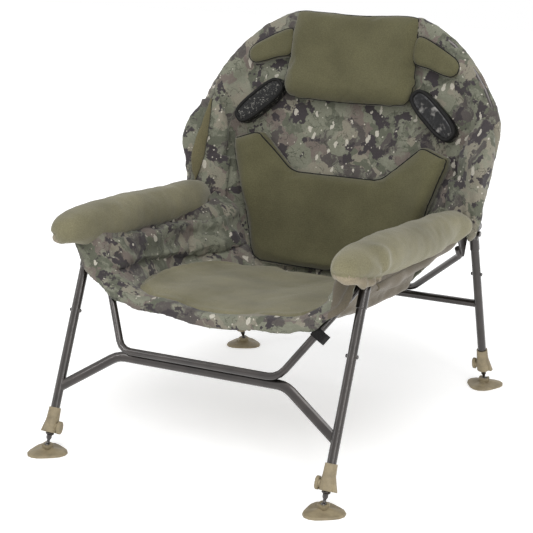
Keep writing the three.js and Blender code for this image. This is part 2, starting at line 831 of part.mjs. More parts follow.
function bolts() {
  const pieces = [];
  const grip = earOffset + earThickness + weldGap + boltHeadHeight;
  const hoopGrip = hoopFootHalf + hoopRadius + weldGap + boltHeadHeight;
  [['left', -1], ['right', 1]].forEach(([side, sign]) => {
    const inner = sign * (legHalfSpacing - grip);
    const outer = sign * (legHalfSpacing + grip);
    pieces.push(
      bolt(`front_${side}_pivot_bolt`, inner, outer, frontPivotDepth, frontPivotHeight),
      bolt(`rear_${side}_pivot_bolt`, inner, outer, rearPivotDepth, rearPivotHeight),
      bolt(`back_${side}_pivot_bolt`, inner, sign * hoopGrip, backPivotDepth, backPivotHeight),
    );
  });
  return pieces;
}

function rails() {
  return [['left', -1], ['right', 1]].map(([side, sign]) => {
    const x = sign * legHalfSpacing;
    const front = at(x, railFrontDepth, railFrontHeight);
    const rear = at(x, railRearDepth, railRearHeight);
    return mesh(`${side}_side_rail`, rod(front, rear, railRadius), steel());
  });
}

// Arm pads: a padded sleeve round the rail, with shares of its length, width and height
const armLengthShares = [0, 0.012, 0.04, 0.09, 0.17, 0.32, 0.48, 0.64, 0.8, 0.91, 0.965, 0.99, 1];
const armWidthShares = [0.26, 0.5, 0.7, 0.84, 0.94, 1, 0.99, 0.96, 0.93, 0.9, 0.82, 0.64, 0.4];
const armTopShares = [0.44, 0.25, 0.14, 0.06, 0.02, 0.06, 0.14, 0.25, 0.4, 0.53, 0.63, 0.73, 0.85];
const armNoseShare = 0.5;
const armTailShare = 0.99;
const armBottomShares = [0.62, 0.76, 0.9, 1.0, 1.02, 1.04, 1.08, 1.13, 1.22, 1.3, 1.28, 1.23, 1.12];

function armRing(i, swell) {
  const top = armTopHeight - armHeight * armTopShares[i];
  const bottom = armTopHeight - armHeight * armBottomShares[i];
  const depth = THREE.MathUtils.lerp(armFrontDepth, armRearDepth, armLengthShares[i]);
  const half = armHalfWidth * armWidthShares[i] + swell;
  const section = oval(half, (top - bottom) / 2 + swell, armSides, 2.5);
  return section.map((p) => at(p.x, depth, (top + bottom) / 2 + p.y));
}

// The arm pad's outside, or a copy that is swollen by a gap
function armBody(swell) {
  const rings = armLengthShares.map((_, i) => armRing(i, swell));
  const tip = (depth, share) => rings[0].map(() => at(0, depth, armTopHeight - armHeight * share));
  const nose = tip(armFrontDepth - armNoseLength - swell, armNoseShare);
  const tail = tip(armRearDepth + swell + overrun / 4, armTailShare);
  return loft([nose, ...rings, tail]);
}

function armPads() {
  const body = armBody(0);
  const from = at(0, railFrontDepth, railFrontHeight);
  const to = at(0, railRearDepth, railRearHeight);
  const past = to.clone().sub(from).setLength(overrun);
  const tunnel = rod(from.sub(past), to, railRadius + weldGap);
  const notchHalf = earOffset + earThickness + boltHeadHeight + armNotchGap;
  const notchTop = railHeight(frontPivotDepth) + railRadius + bracketSleeveWall + armNotchGap;
  const notchLength = sleeveLength + armNotchGap * 4;
  const notch = new THREE.BoxGeometry(notchHalf * 2, notchLength, armHeight);
  notch.translate(0, frontPivotDepth, notchTop - armHeight / 2);
  return [['left', -1], ['right', 1]].map(([side, sign]) => {
    const piece = mesh(`${side}_arm_pad`, cut(body, tunnel, notch), fabric(oliveSeatColour));
    piece.position.x = sign * legHalfSpacing;
    return piece;
  });
}

// The seat sling: a padded trough between the arms
function slingHalfWidth(depth) {
  const flapEnd = slingFrontDepth + slingFlapLength;
  const tucked = smooth(flapEnd, flapEnd + slingTuckLength, depth);
  const narrowEnd = slingFrontDepth + slingNarrowLength;
  const widened = smooth(narrowEnd, narrowEnd + slingWidenLength, depth);
  const narrow = THREE.MathUtils.lerp(slingFlapHalf, slingNarrowHalf, tucked);
  return THREE.MathUtils.lerp(narrow, slingHalf, widened);
}

function armUnderside(depth) {
  const share = THREE.MathUtils.clamp((depth - armFrontDepth) / (armRearDepth - armFrontDepth), 0, 1);
  const next = Math.max(armLengthShares.findIndex((s) => s >= share), 1);
  const [from, to] = [armLengthShares[next - 1], armLengthShares[next]];
  const drop = THREE.MathUtils.lerp(
    armBottomShares[next - 1],
    armBottomShares[next],
    (share - from) / (to - from),
  );
  return armTopHeight - armHeight * drop;
}

function slingShape(depth) {
  const share = THREE.MathUtils.clamp(
    (depth - slingFrontDepth) / (slingRearDepth - slingFrontDepth),
    0,
    1,
  );
  const top = armUnderside(depth) + slingTopLap;
  return {
    half: slingHalfWidth(depth),
    top,
    sag: top - THREE.MathUtils.lerp(slingFrontFloor, slingRearFloor, smooth(0, 0.8, share)),
    roundness: THREE.MathUtils.lerp(...slingRoundnessShares, smooth(0, 0.5, share)),
    thickness: THREE.MathUtils.lerp(slingFrontRoll, slingThickness, smooth(0.03, 0.12, share)),
  };
}

// A point of the sling for a share across it from -1 to 1, at a height over its underside
function slingPlace(across, depth, over) {
  const shape = slingShape(depth);
  const half = shape.half - over * (slingThickness / shape.thickness);
  const sag = shape.sag - over;
  const turn = (across * Math.PI) / 2;
  const x = half * Math.sign(turn) * Math.abs(Math.sin(turn)) ** (2 / shape.roundness);
  const z = shape.top - sag * Math.abs(Math.cos(turn)) ** (2 / shape.roundness);
  return at(x, depth, z);
}

// How high the sling's inner side is at a place
function slingFloor(x, depth) {
  const shape = slingShape(depth);
  const share = Math.min(Math.abs(x) / (shape.half - slingThickness), 1);
  const sag = shape.sag - shape.thickness;
  return shape.top - sag * (1 - share ** shape.roundness) ** (1 / shape.roundness);
}

const slingDepthShares = [0, 0.02, 0.045, 0.07, 0.12, 0.2, 0.26, 0.4, 0.6, 0.8, 1];

// How far back the seat can go at a place of the sling, up to the back panel or the lumbar pad
const lumbarFootShares = [0.55, 0.49, -0.33, -0.295]; // across from and to, up from and to

function seatRear(place) {
  const up = (place.z - backPivotHeight) / Math.cos(backLean);
  const raised = smooth(panelHemLow, panelHemHigh, up);
  const panel = THREE.MathUtils.lerp(panelMiddleHeight, panelEdgeHeight, raised);
  const [wide, narrow, low, high] = lumbarFootShares;
  const beside = smooth(backHalfWidth * wide, backHalfWidth * narrow, Math.abs(place.x));
  const above = smooth(backHeight * low, backHeight * high, up);
  const over = THREE.MathUtils.lerp(panel, lumbarFront, beside * above) + backGap;
  return backPivotDepth + up * Math.sin(backLean) - over / Math.cos(backLean);
}

// The sling, or a copy whose inner side stands higher and whose outer side is lower
function slingBody(raise, drop) {
  const depthAt = (u, v) => {
    const share = slingDepthShares[Math.round(v * (slingDepthShares.length - 1))];
    const edge = slingPlace(2 * u - 1, slingRearDepth, slingThickness);
    return THREE.MathUtils.lerp(slingFrontDepth, seatRear(edge), share);
  };
  const lower = (u, v) => slingPlace(2 * u - 1, depthAt(u, v), -drop);
  const upper = (u, v) => {
    const depth = depthAt(u, v);
    return slingPlace(2 * u - 1, depth, slingShape(depth).thickness + raise);
  };
  return sheet(18, slingDepthShares.length - 1, lower, upper);
}

function sling() {
  const arms = [-1, 1].map((side) => armBody(weldGap).translate(side * legHalfSpacing, 0, 0));
  return mesh('seat_sling', cut(slingBody(0, 0), ...arms), fabric(camoColour));
}

function seatCushion() {
  const middle = flat(0, (cushionFrontDepth + cushionRearDepth) / 2);
  const outline = oval(cushionHalfWidth, (cushionRearDepth - cushionFrontDepth) / 2, 30, 4);
  outline.forEach((p) => p.add(middle));
  const lower = (x, y) => at(x, y, slingFloor(x, y) - slingThickness);
  const upper = (x, y, share) => {
    const crown = (1 - share ** 4) ** 0.5;
    const channel = cushionChannel * Math.exp(-(((share - 0.86) / 0.035) ** 2));
    const height = cushionEdge + (cushionThickness - cushionEdge) * crown - channel;
    return at(x, y, slingFloor(x, y) + height);
  };
  const rings = [0, 0.4, 0.7, 0.82, 0.86, 0.92, 1];
  const body = pad(outline, middle, rings, lower, upper);
  return mesh('seat_cushion', cut(body, slingBody(weldGap, cushionThickness)), fabric(oliveSeatColour));
}

// The padded inner sides of the seat, below the arms
const sidePanelStartShare = 0.69;
const sidePanelRearStartShare = 0.62;
const sidePanelEndShare = 0.95;

function sidePanels() {
  const cutter = slingBody(weldGap, cushionThickness);
  return [['left', -1], ['right', 1]].map(([side, sign]) => {
    const place = (u, v, over) => {
      const start = THREE.MathUtils.lerp(sidePanelStartShare, sidePanelRearStartShare, v);
      const across = THREE.MathUtils.lerp(start, sidePanelEndShare, u);
      const edge = slingPlace(sign * across, slingRearDepth, slingThickness);
      const depth = THREE.MathUtils.lerp(sidePanelFrontDepth, seatRear(edge) - backGap, v);
      return slingPlace(sign * across, depth, slingShape(depth).thickness + over);
    };
    const lower = (u, v) => place(u, v, -slingThickness / 2);
    const upper = (u, v) => {
      const crown = ((1 - (2 * u - 1) ** 4) * (1 - (2 * v - 1) ** 8)) ** 0.5;
      return place(u, v, weldGap + sidePanelEdge + (sidePanelThickness - sidePanelEdge) * crown);
    };
    const body = sheet(6, 8, lower, upper);
    const arm = armBody(weldGap).translate(sign * legHalfSpacing, 0, 0);
    return mesh(`${side}_side_panel`, cut(body, cutter, arm), fabric(camoColour));
  });
}

// The back: its hoop, its padded panel and the pads on it
const backOutlineShares = [
  [0.934, 0.13], [0.942, 0.25], [0.957, 0.35], [0.972, 0.47], [0.93, 0.605],
  [0.838, 0.727], [0.724, 0.84], [0.572, 0.943], [0.4, 0.995], [0.18, 1],
];

function backOutline(inset) {
  return backOutlineShares.map(([wide, high]) => {
    const lift = smooth(0.6, 1, high);
    return flat(backHalfWidth * wide - inset * (1 - lift * 0.6), backHeight * high - inset * lift);
  });
}

function hoop() {
  const half = [
    flat(hoopFootHalf, -hoopFootDrop),
    flat(hoopFootHalf, hoopFootDrop),
    ...backOutline(hoopInset),
  ];
  const all = [...half, flat(0, backHeight - hoopInset), ...[...half].reverse().map((p) => flat(-p.x, p.y))];
  const curve = new THREE.CatmullRomCurve3(all.map((p) => at(p.x, p.y, 0)), false, 'centripetal');
  return curve.getSpacedPoints(34);
}

function hoopTube(line, radius, sides) {
  const upright = new THREE.Matrix4().makeRotationX(Math.PI / 2 - backLean);
  const foot = backPlace(0, 0, 0);
  return tube(line, oval(radius, radius, sides)).applyMatrix4(upright).translate(foot.x, foot.y, foot.z);
}

function backHoop(line) {
  const reach = hoopFootHalf + hoopRadius + overrun;
  const hole = rod(
    at(-reach, backPivotDepth, backPivotHeight),
    at(reach, backPivotDepth, backPivotHeight),
    boltRadius + weldGap,
    8,
  );
  return mesh('back_hoop', cut(hoopTube(line, hoopRadius, 10), hole), steel());
}

const scaled = (shares) => shares.map(([wide, high]) => flat(backHalfWidth * wide, backHeight * high));
const panelLowShares = [
  [0, -0.332], [0.304, -0.332], [0.481, -0.306], [0.572, -0.238], [0.653, -0.166], [0.719, -0.089],
  [0.754, 0], [0.77, 0.085], [0.785, 0.15], [0.861, 0.153], [0.922, 0.165],
];
const panelMiddleShare = 0.319;

// The back panel, or a copy whose front stands higher by a gap
function panelBody(raise) {
  const half = [...scaled(panelLowShares), ...backOutline(0).slice(1), flat(0, backHeight)];
  const outline = mirroredOutline(half, 42);
  const edge = (share, up) => smooth(0.78, 0.9, share) * smooth(panelHemLow, panelHemHigh, up);
  const top = (x, y, share) => {
    const height = THREE.MathUtils.lerp(panelMiddleHeight, panelEdgeHeight, edge(share, y));
    return share === 1 ? height - panelRimDrop : height + raise;
  };
  const upper = (x, y, share) => backPlace(x, y, top(x, y, share));
  const lower = (x, y, share) => {
    const depth = THREE.MathUtils.lerp(-panelRearDepth, -panelEdgeHeight, smooth(0.6, 0.95, share));
    return backPlace(x, y, share === 1 ? depth + panelRimDrop : depth);
  };
  const middle = flat(0, backHeight * panelMiddleShare);
  return pad(outline, middle, [0, 0.72, 0.82, 0.9, 0.985, 1], lower, upper);
}

function backPanel(line) {
  const tunnelSides = 10;
  const tunnel = hoopTube(line, (hoopRadius + weldGap) / Math.cos(Math.PI / tunnelSides), tunnelSides);
  return mesh('back_panel', cut(panelBody(0), tunnel), fabric(camoColour));
}

// A pad on the panel's front. Its underside follows the panel.
function backPad(name, outline, middle, rings, front, edgeShare, colour) {
  const lower = (x, y) => backPlace(x, y, -padSeat);
  const upper = (x, y, share) => {
    const crown = edgeShare + (1 - edgeShare) * (1 - share ** 4) ** 0.5;
    return backPlace(x, y, front(x, y) * crown);
  };
  const body = cut(pad(outline, middle, rings, lower, upper), panelBody(weldGap));
  return mesh(name, body, fabric(colour));
}

const lumbarShares = [
  [0, 0.208], [0.253, 0.208], [0.299, 0.221], [0.405, 0.298], [0.522, 0.381], [0.562, 0.381],
  [0.704, 0.336], [0.7, 0.285], [0.628, 0.106], [0.567, -0.064], [0.511, -0.213], [0.476, -0.26],
  [0.425, -0.281], [0.203, -0.285], [0, -0.285],
];
const lumbarMiddleShare = -0.085;
const lumbarLiftShares = [0.38, 0.67, -0.128, 0.128]; // across from and to, up from and to
const headrestShares = [0, 0.779, 0.405, 0.213]; // across, up, half length and half height
const ventShares = [0.552, 0.809, 0.127, 0.0575];
const netShares = [0.567, 0.536, 0.187, 0.0596];
const ventTurn = THREE.MathUtils.degToRad(-33);
const netTurn = THREE.MathUtils.degToRad(-42);

function backPads() {
  const rings = [0, 0.5, 0.78, 0.93, 1];
  const lumbar = mirroredOutline(scaled(lumbarShares), 46);
  const [from, to, low, high] = lumbarLiftShares;
  const lumbarTop = (x, y) => {
    const outward = smooth(backHalfWidth * from, backHalfWidth * to, Math.abs(x));
    return lumbarFront + lumbarEarLift * outward * smooth(backHeight * low, backHeight * high, y);
  };
  const spot = ([across, up]) => flat(backHalfWidth * across, backHeight * up);
  const section = ([, , long, tall], sides, roundness) => oval(
    backHalfWidth * long,
    backHeight * tall,
    sides,
    roundness,
  );
  const headMiddle = spot(headrestShares);
  const headrest = section(headrestShares, 32, 6).map((p) => p.add(headMiddle));
  const lumbarMiddle = flat(0, backHeight * lumbarMiddleShare);
  const pads = [
    backPad('lumbar_pad', lumbar, lumbarMiddle, rings, lumbarTop, 0.55, oliveBackColour),
    backPad('headrest', headrest, headMiddle, rings, () => headrestFront, 0.55, oliveBackColour),
  ];
  [['left', -1], ['right', 1]].forEach(([side, sign]) => {
    const slanted = (name, shares, turn, roundness, front, edgeShare, colour) => {
      const middle = spot(shares);
      const level = section(shares, 16, roundness);
      const outline = level.map((p) => p.rotateAround(flat(0, 0), turn).add(middle));
      outline.forEach((p) => p.set(sign * p.x, p.y));
      middle.x *= sign;
      return backPad(name, outline, middle, rings, () => front, edgeShare, colour);
    };
    pads.push(
      slanted(`${side}_vent_pad`, ventShares, ventTurn, 3.6, ventFront, 0.75, oliveBackColour),
      slanted(`${side}_net_pad`, netShares, netTurn, 3, netFront, 0.6, blackColour),
    );
  });
  return pads;
}

// The padded wings that stand forward at the sides of the back
const wingShares = [
  [0.749, 0.277], [0.77, 0.179], [0.841, 0.145], [0.878, 0.136], [0.896, 0.064], [0.944, 0.064],
  [0.975, 0.191], [0.997, 0.319], [0.987, 0.436], [0.947, 0.536], [0.881, 0.557], [0.81, 0.485],
  [0.759, 0.383],
];
const wingMiddleShares = [0.873, 0.319];
const wingLiftShares = [0.747, 0.992, 0.585, 0.351]; // across from and to, up from and to
const wingSinkShares = [0.835, 0.775, 0.17, 0.213];
const wingUndercutShares = [0.861, 0.997];

function wings() {
  const within = ([from, to, low, high], x, y) => smooth(backHalfWidth * from, backHalfWidth * to, Math.abs(x))
    * (low === undefined ? 1 : smooth(backHeight * low, backHeight * high, y));
  const rings = [0, 0.55, 0.88, 1];
  return [['left', -1], ['right', 1]].map(([side, sign]) => {
    const points = scaled(wingShares).map((p) => at(sign * p.x, p.y, 0));
    const curve = new THREE.CatmullRomCurve3(points, true, 'centripetal');
    const outline = curve.getSpacedPoints(24).slice(0, 24).map((p) => flat(p.x, p.y));
    const lower = (x, y) => {
      const sunk = padSeat * within(wingSinkShares, x, y);
      const drawn = Math.sign(x) * wingUndercut * within(wingUndercutShares, x, y);
      return backPlace(x - drawn, y, panelEdgeHeight + weldGap - sunk);
    };
    const upper = (x, y, share) => {
      const crown = 0.5 + 0.5 * (1 - share ** 6) ** 0.5;
      const lift = wingLift * within(wingLiftShares, x, y);
      return backPlace(x, y, panelEdgeHeight + weldGap + wingSkin + lift * crown);
    };
    const [middleWide, middleHigh] = wingMiddleShares;
    const middle = flat(sign * backHalfWidth * middleWide, backHeight * middleHigh);
    const body = cut(pad(outline, middle, rings, lower, upper), panelBody(weldGap));
    return mesh(`${side}_wing`, body, fabric(camoColour));
  });
}

// A webbing strap that ties the sling to the front support tube
function strap() {
  const foot = frontSupportFoot();
  const end = frontSupportEnd();
  const rise = foot.distanceTo(end) - supportEndLength / 2;
  const x = THREE.MathUtils.lerp(frontSupportBottomHalf, supportEndHalf, strapPlaceShare);
  const spot = foot.clone().lerp(end, (rise * strapPlaceShare) / foot.distanceTo(end));
  const lean = Math.atan2(supportEndHalf - frontSupportBottomHalf, rise);
  const inner = supportRadius + weldGap;
  const outer = inner + strapThickness;
  const ring = new THREE.LatheGeometry([
    flat(inner, -strapWidth / 2),
    flat(outer, -strapWidth / 2),
    flat(outer, strapWidth / 2),
    flat(inner, strapWidth / 2),
    flat(inner, -strapWidth / 2),
  ], 14);
  const tail = new THREE.BoxGeometry(strapThickness, strapWidth, strapTailLength);
  tail.translate(inner + strapThickness / 2, 0, -strapTailLength / 2);
  const piece = mesh('seat_strap', join(ring, tail), fabric(blackColour));
  piece.position.set(x, spot.x, spot.y);
  piece.rotation.x = end.clone().sub(foot).angle();
  piece.rotation.z = -lean;
  return piece;
}

const chair = new THREE.Group();
const valleysFront = [THREE.MathUtils.degToRad(-55), THREE.MathUtils.degToRad(-55)];
const valleysRear = [THREE.MathUtils.degToRad(55), THREE.MathUtils.degToRad(95)];
const hoopLine = hoop();
chair.add(
  legFrame('front', frontPivotDepth, frontPivotHeight, -frontRake, ballDropFront, frontRivetDrop,
    frontBar(), valleysFront),
  legFrame('rear', rearPivotDepth, rearPivotHeight, rearRake, ballDropRear, rearRivetDrop,
    rearBar(), valleysRear),
  ...supports(),
  ...rails(),
  ...brackets(),
  ...bolts(),
  ...armPads(),
  sling(),
  seatCushion(),
  ...sidePanels(),
  strap(),
  backHoop(hoopLine),
  backPanel(hoopLine),
  ...backPads(),
  ...wings(),
);
chair.position.y = -(frontBallDepth + rearBallDepth) / 2;

export default chair;
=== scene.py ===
# %% [markdown]
# # A padded fishing chair
#
# The chair has a steel frame that folds, a deep padded seat, thick arm pads and a tall round
# back. Its rigid parts were drawn first, and they arrive here as a fixed frame. This file gives
# those parts their finish, and makes the cloth and the padding around them.

# %% Load the frame
import json
import math

import bpy
from mathutils import Matrix, Vector, noise
from mathutils.bvhtree import BVHTree
from mathutils.kdtree import KDTree


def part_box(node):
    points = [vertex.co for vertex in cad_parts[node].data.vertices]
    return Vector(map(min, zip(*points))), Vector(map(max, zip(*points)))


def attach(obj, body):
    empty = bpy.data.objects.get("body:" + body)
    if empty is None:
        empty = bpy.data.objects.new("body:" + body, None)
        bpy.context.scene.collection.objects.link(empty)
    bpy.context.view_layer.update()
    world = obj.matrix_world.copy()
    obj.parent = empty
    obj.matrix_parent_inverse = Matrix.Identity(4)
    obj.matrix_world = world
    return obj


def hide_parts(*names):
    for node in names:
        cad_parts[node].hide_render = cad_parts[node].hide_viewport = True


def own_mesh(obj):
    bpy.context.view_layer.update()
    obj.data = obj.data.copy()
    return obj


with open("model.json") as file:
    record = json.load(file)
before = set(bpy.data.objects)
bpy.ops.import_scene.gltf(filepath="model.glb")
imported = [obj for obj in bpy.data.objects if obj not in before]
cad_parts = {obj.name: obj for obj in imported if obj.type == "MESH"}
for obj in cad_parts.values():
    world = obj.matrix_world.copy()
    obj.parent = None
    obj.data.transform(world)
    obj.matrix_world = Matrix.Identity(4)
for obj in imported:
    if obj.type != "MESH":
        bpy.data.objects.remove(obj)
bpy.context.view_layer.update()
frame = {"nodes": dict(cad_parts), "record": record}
scene = bpy.context.scene
bpy.ops.object.select_all(action="DESELECT")
print("nodes in the frame:", len(frame["nodes"]))

# %% [markdown]
# ## The camera and the light
#
# The camera stands where the photograph was taken from: well in front of the chair, to one
# side and a little above the arms, with a long lens. A long lens keeps the far legs nearly as
# large as the near ones. A soft studio is made with a pale world, one soft sun for the shadow
# and three tall lamps, whose reflections draw the long streaks of light on the tubes.

# %% Place the camera
FRONT_LINE_TO_MIDDLE = 0.43784  # from the line of the front feet to the middle of the chair
LENS_MM = 109.3
VIEW_DIRECTION = Vector((-0.46340, 0.84634, -0.26260))

camera = bpy.data.objects.new("camera", bpy.data.cameras.new("camera"))
scene.collection.objects.link(camera)
camera.location = (1.6333, -2.5997 - FRONT_LINE_TO_MIDDLE, 1.2907)
camera.rotation_euler = VIEW_DIRECTION.to_track_quat("-Z", "Y").to_euler()
camera.data.lens = LENS_MM
camera.data.sensor_width = 36
scene.camera = camera

# %% Light the studio
WORLD_LIGHT = 0.62
SUN_STRENGTH = 1.15
SUN_DIRECTION = Vector((-0.25, 0.55, -1.0))
SUN_SPREAD = math.radians(40)
LAMP_POWER = 10.5
LAMP_SIZE = (0.16, 2.4)
LAMPS_AIM = Vector((0, 0, 0.4))
LAMPS = (
    ("left lamp", (-2.2, -2.4, 1.9)),
    ("right lamp", (2.6, -1.6, 1.5)),
    ("front lamp", (2.3, -2.5, 1.4)),
)

world = bpy.data.worlds.new("studio")
scene.world = world
world.use_nodes = True
sky = world.node_tree
sky.nodes.clear()
seen_by = sky.nodes.new("ShaderNodeLightPath").outputs
seen = seen_by["Is Camera Ray"]
for ray in ("Is Glossy Ray", "Is Transmission Ray"):
    either = sky.nodes.new("ShaderNodeMath")
    either.operation = "MAXIMUM"
    sky.links.new(seen, either.inputs[0])
    sky.links.new(seen_by[ray], either.inputs[1])
    seen = either.outputs[0]
strength = sky.nodes.new("ShaderNodeMapRange")
strength.inputs["To Min"].default_value = WORLD_LIGHT
strength.inputs["To Max"].default_value = 1.0
background = sky.nodes.new("ShaderNodeBackground")
output = sky.nodes.new("ShaderNodeOutputWorld")
sky.links.new(seen, strength.inputs["Value"])
sky.links.new(strength.outputs["Result"], background.inputs["Strength"])
sky.links.new(background.outputs[0], output.inputs["Surface"])
background.inputs["Color"].default_value = (1, 1, 1, 1)

sun = bpy.data.objects.new("sun", bpy.data.lights.new("sun", "SUN"))
scene.collection.objects.link(sun)
sun.data.energy = SUN_STRENGTH
sun.data.angle = SUN_SPREAD
sun.rotation_euler = SUN_DIRECTION.to_track_quat("-Z", "Y").to_euler()

for lamp_name, spot in LAMPS:
    lamp = bpy.data.objects.new(lamp_name, bpy.data.lights.new(lamp_name, "AREA"))
    scene.collection.objects.link(lamp)
    lamp.data.energy = LAMP_POWER
    lamp.data.shape = "RECTANGLE"
    lamp.data.size, lamp.data.size_y = LAMP_SIZE
    lamp.location = spot
    lamp.rotation_euler = (LAMPS_AIM - Vector(spot)).to_track_quat("-Z", "Y").to_euler()

scene.view_settings.view_transform = "Standard"

# %% [markdown]
# ## The floor
#
# The floor is a plain pale sheet. It is the stage and no part of the chair.

# %% Lay the floor
FLOOR_GLOW = 0.34  # keeps the floor nearly white between the soft shadows
bpy.ops.mesh.primitive_plane_add(size=14, location=(0, 0, -0.0005))
floor = bpy.context.object
floor.name = "floor"
paper = bpy.data.materials.new("floor paper")
paper.use_nodes = True
paper_inputs = paper.node_tree.nodes["Principled BSDF"].inputs
paper_inputs["Base Color"].default_value = (0.95, 0.95, 0.95, 1)
paper_inputs["Roughness"].default_value = 1.0
paper_inputs["Emission Color"].default_value = (1, 1, 1, 1)
paper_inputs["Emission Strength"].default_value = FLOOR_GLOW
floor.data.materials.append(paper)
bpy.ops.object.select_all(action="DESELECT")

# %% [markdown]
# ## How a finish is built
#
# A finish is a small tree of nodes round one shader. Colour is varied with noise, because no
# real cloth or paint is one even colour, and a bump gives it its grain. All the patterns read
# object coordinates, which are metres here, so a scale of 1000 draws marks a millimetre wide.


# %% Helpers for materials
class Finish:
    """A material with one shader, and short names for the nodes that feed it."""

    def __init__(self, name, roughness, metallic=0.0):
        self.material = bpy.data.materials.new(name)
        self.material.use_nodes = True
        self.tree = self.material.node_tree
        self.shader = self.tree.nodes["Principled BSDF"]
        self.set({"Roughness": roughness, "Metallic": metallic})
        self.place = self.tree.nodes.new("ShaderNodeTexCoord").outputs["Object"]

    def feed(self, node, inputs):
        """Gives inputs of a node their numbers and colours, or joins them to other nodes."""
        for name, value in inputs.items():
            socket = node.inputs[name]
            if isinstance(value, bpy.types.NodeSocket):
                self.tree.links.new(value, socket)
            else:
                socket.default_value = (*value, 1) if socket.type == "RGBA" else value

    def node(self, kind, inputs, **settings):
        made = self.tree.nodes.new(kind)
        for key, value in settings.items():
            setattr(made, key, value)
        self.feed(made, inputs)
        return made

    def set(self, inputs):
        self.feed(self.shader, inputs)

    def stretched(self, scale=(1, 1, 1), turn=(0, 0, 0), shift=(0, 0, 0)):
        inputs = {"Scale": scale, "Rotation": turn, "Location": shift, "Vector": self.place}
        return self.node("ShaderNodeMapping", inputs).outputs["Vector"]

    def cloudy(self, scale, detail=3.0, vector=None, roughness=0.5):
        inputs = {"Scale": scale, "Detail": detail, "Roughness": roughness}
        inputs["Vector"] = vector or self.place
        return self.node("ShaderNodeTexNoise", inputs).outputs["Fac"]

    def cells(self, scale, vector=None, feature="F1"):
        inputs = {"Scale": scale, "Vector": vector or self.place}
        return self.node("ShaderNodeTexVoronoi", inputs, feature=feature)

    def ramp(self, value, stops, constant=False):
        ramp = self.node("ShaderNodeValToRGB", {"Fac": value})
        ramp.color_ramp.interpolation = "CONSTANT" if constant else "LINEAR"
        points = ramp.color_ramp.elements
        while len(points) < len(stops):
            points.new(1.0)
        for point, (spot, colour) in zip(points, stops):
            point.position = spot
            point.color = (*colour, 1)
        return ramp.outputs["Color"]

    def two_tone(self, value, dark, light, low=0.3):
        """Blends two colours, given from 0 to 255, over the middle of a noise."""
        return self.ramp(value, ((low, srgb(*dark)), (0.7, srgb(*light))))

    def mixed(self, share, under, over, blend="MIX"):
        inputs = {0: share, 6: under, 7: over}
        mix = self.node("ShaderNodeMix", inputs, data_type="RGBA", blend_type=blend)
        return mix.outputs[2]

    def sums(self, operation, *values):
        inputs = dict(enumerate(values))
        return self.node("ShaderNodeMath", inputs, operation=operation).outputs[0]

    def colour(self, value):
        self.set({"Base Color": value})

    def bump(self, height, strength, distance):
        inputs = {"Strength": strength, "Distance": distance, "Height": height}
        self.set({"Normal": self.node("ShaderNodeBump", inputs).outputs["Normal"]})

    def weave(self, thread):
        """Two crossing sets of threads, as a height from 0 to 1."""
        heights = []
        for turn in ((0, 0, math.radians(45)), (math.radians(90), 0, math.radians(-45))):
            inputs = {"Scale": 1 / (thread * 6.4), "Distortion": 1.5, "Detail": 1.0}
            inputs["Vector"] = self.stretched(turn=turn)
            wave = self.node("ShaderNodeTexWave", inputs, bands_direction="X")
            heights.append(wave.outputs["Fac"])
        return self.sums("MULTIPLY", *heights)


def srgb(red, green, blue):
    """A colour as a screen shows it, from 0 to 255, turned into the light that it stands for."""
    turned = []
    for value in (red, green, blue):
        value /= 255
        turned.append(value / 12.92 if value <= 0.04045 else ((value + 0.055) / 1.055) ** 2.4)
    return tuple(turned)


# %% [markdown]
# ## Cloth finishes
#
# The olive cloth is brushed, so it is matt, with a soft light edge that sheen gives. It has a
# fine nap and broad faint clouds where it has been stroked or pressed. The cloths of one kind
# share one function, and differ in the two colours that it blends.


# %% Make the brushed cloths
def brushed_cloth(name, light, dark):
    finish = Finish(name, roughness=0.92)
    broad = finish.cloudy(9.0, detail=4.0)
    patches = finish.ramp(broad, ((0.3, dark), (0.72, light)))
    fine = finish.cloudy(420.0, detail=2.0)
    speckle = finish.ramp(fine, ((0.3, (0.82, 0.82, 0.82)), (0.7, (1.1, 1.1, 1.1))))
    finish.colour(finish.mixed(1.0, patches, speckle, "MULTIPLY"))
    nap = finish.sums("ADD", finish.weave(0.0011), finish.sums("MULTIPLY", fine, 0.6))
    finish.bump(nap, 0.35, 0.0006)
    finish.set({"Sheen Weight": 0.25, "Sheen Roughness": 0.5, "Specular IOR Level": 0.2})
    return finish.material


olive_back = brushed_cloth("olive brushed cloth", srgb(98, 95, 69), srgb(81, 78, 55))
olive_seat = brushed_cloth("light olive brushed cloth", srgb(132, 127, 100), srgb(106, 102, 79))
taupe = brushed_cloth("taupe lining cloth", srgb(111, 102, 87), srgb(92, 85, 71))
strip_olive = brushed_cloth("olive edging cloth", srgb(108, 102, 76), srgb(90, 85, 60))
sand = brushed_cloth("sand cuff cloth", srgb(152, 141, 120), srgb(120, 111, 92))


# %% [markdown]
# The camouflage cloth is printed. Its print is made in layers: soft grey-green ground,
# mauve-brown and dark grey blotches whose borders a noise has pulled about, and small pale leaf
# flecks on top. Blotches from distorted cells give hard borders and any number of shapes
# without one repeating motif.

# %% Make the printed cloth
PRINT_COLOURS = (
    (0.0, srgb(93, 95, 82)),
    (0.24, srgb(118, 119, 104)),
    (0.5, srgb(111, 102, 95)),
    (0.66, srgb(82, 77, 74)),
    (0.8, srgb(133, 128, 114)),
)
DARK_BLOTCH = srgb(62, 57, 59)
PALE_SMUDGE = srgb(128, 129, 114)
LEAF_FLECK = srgb(192, 187, 174)
TWIG = srgb(62, 63, 55)


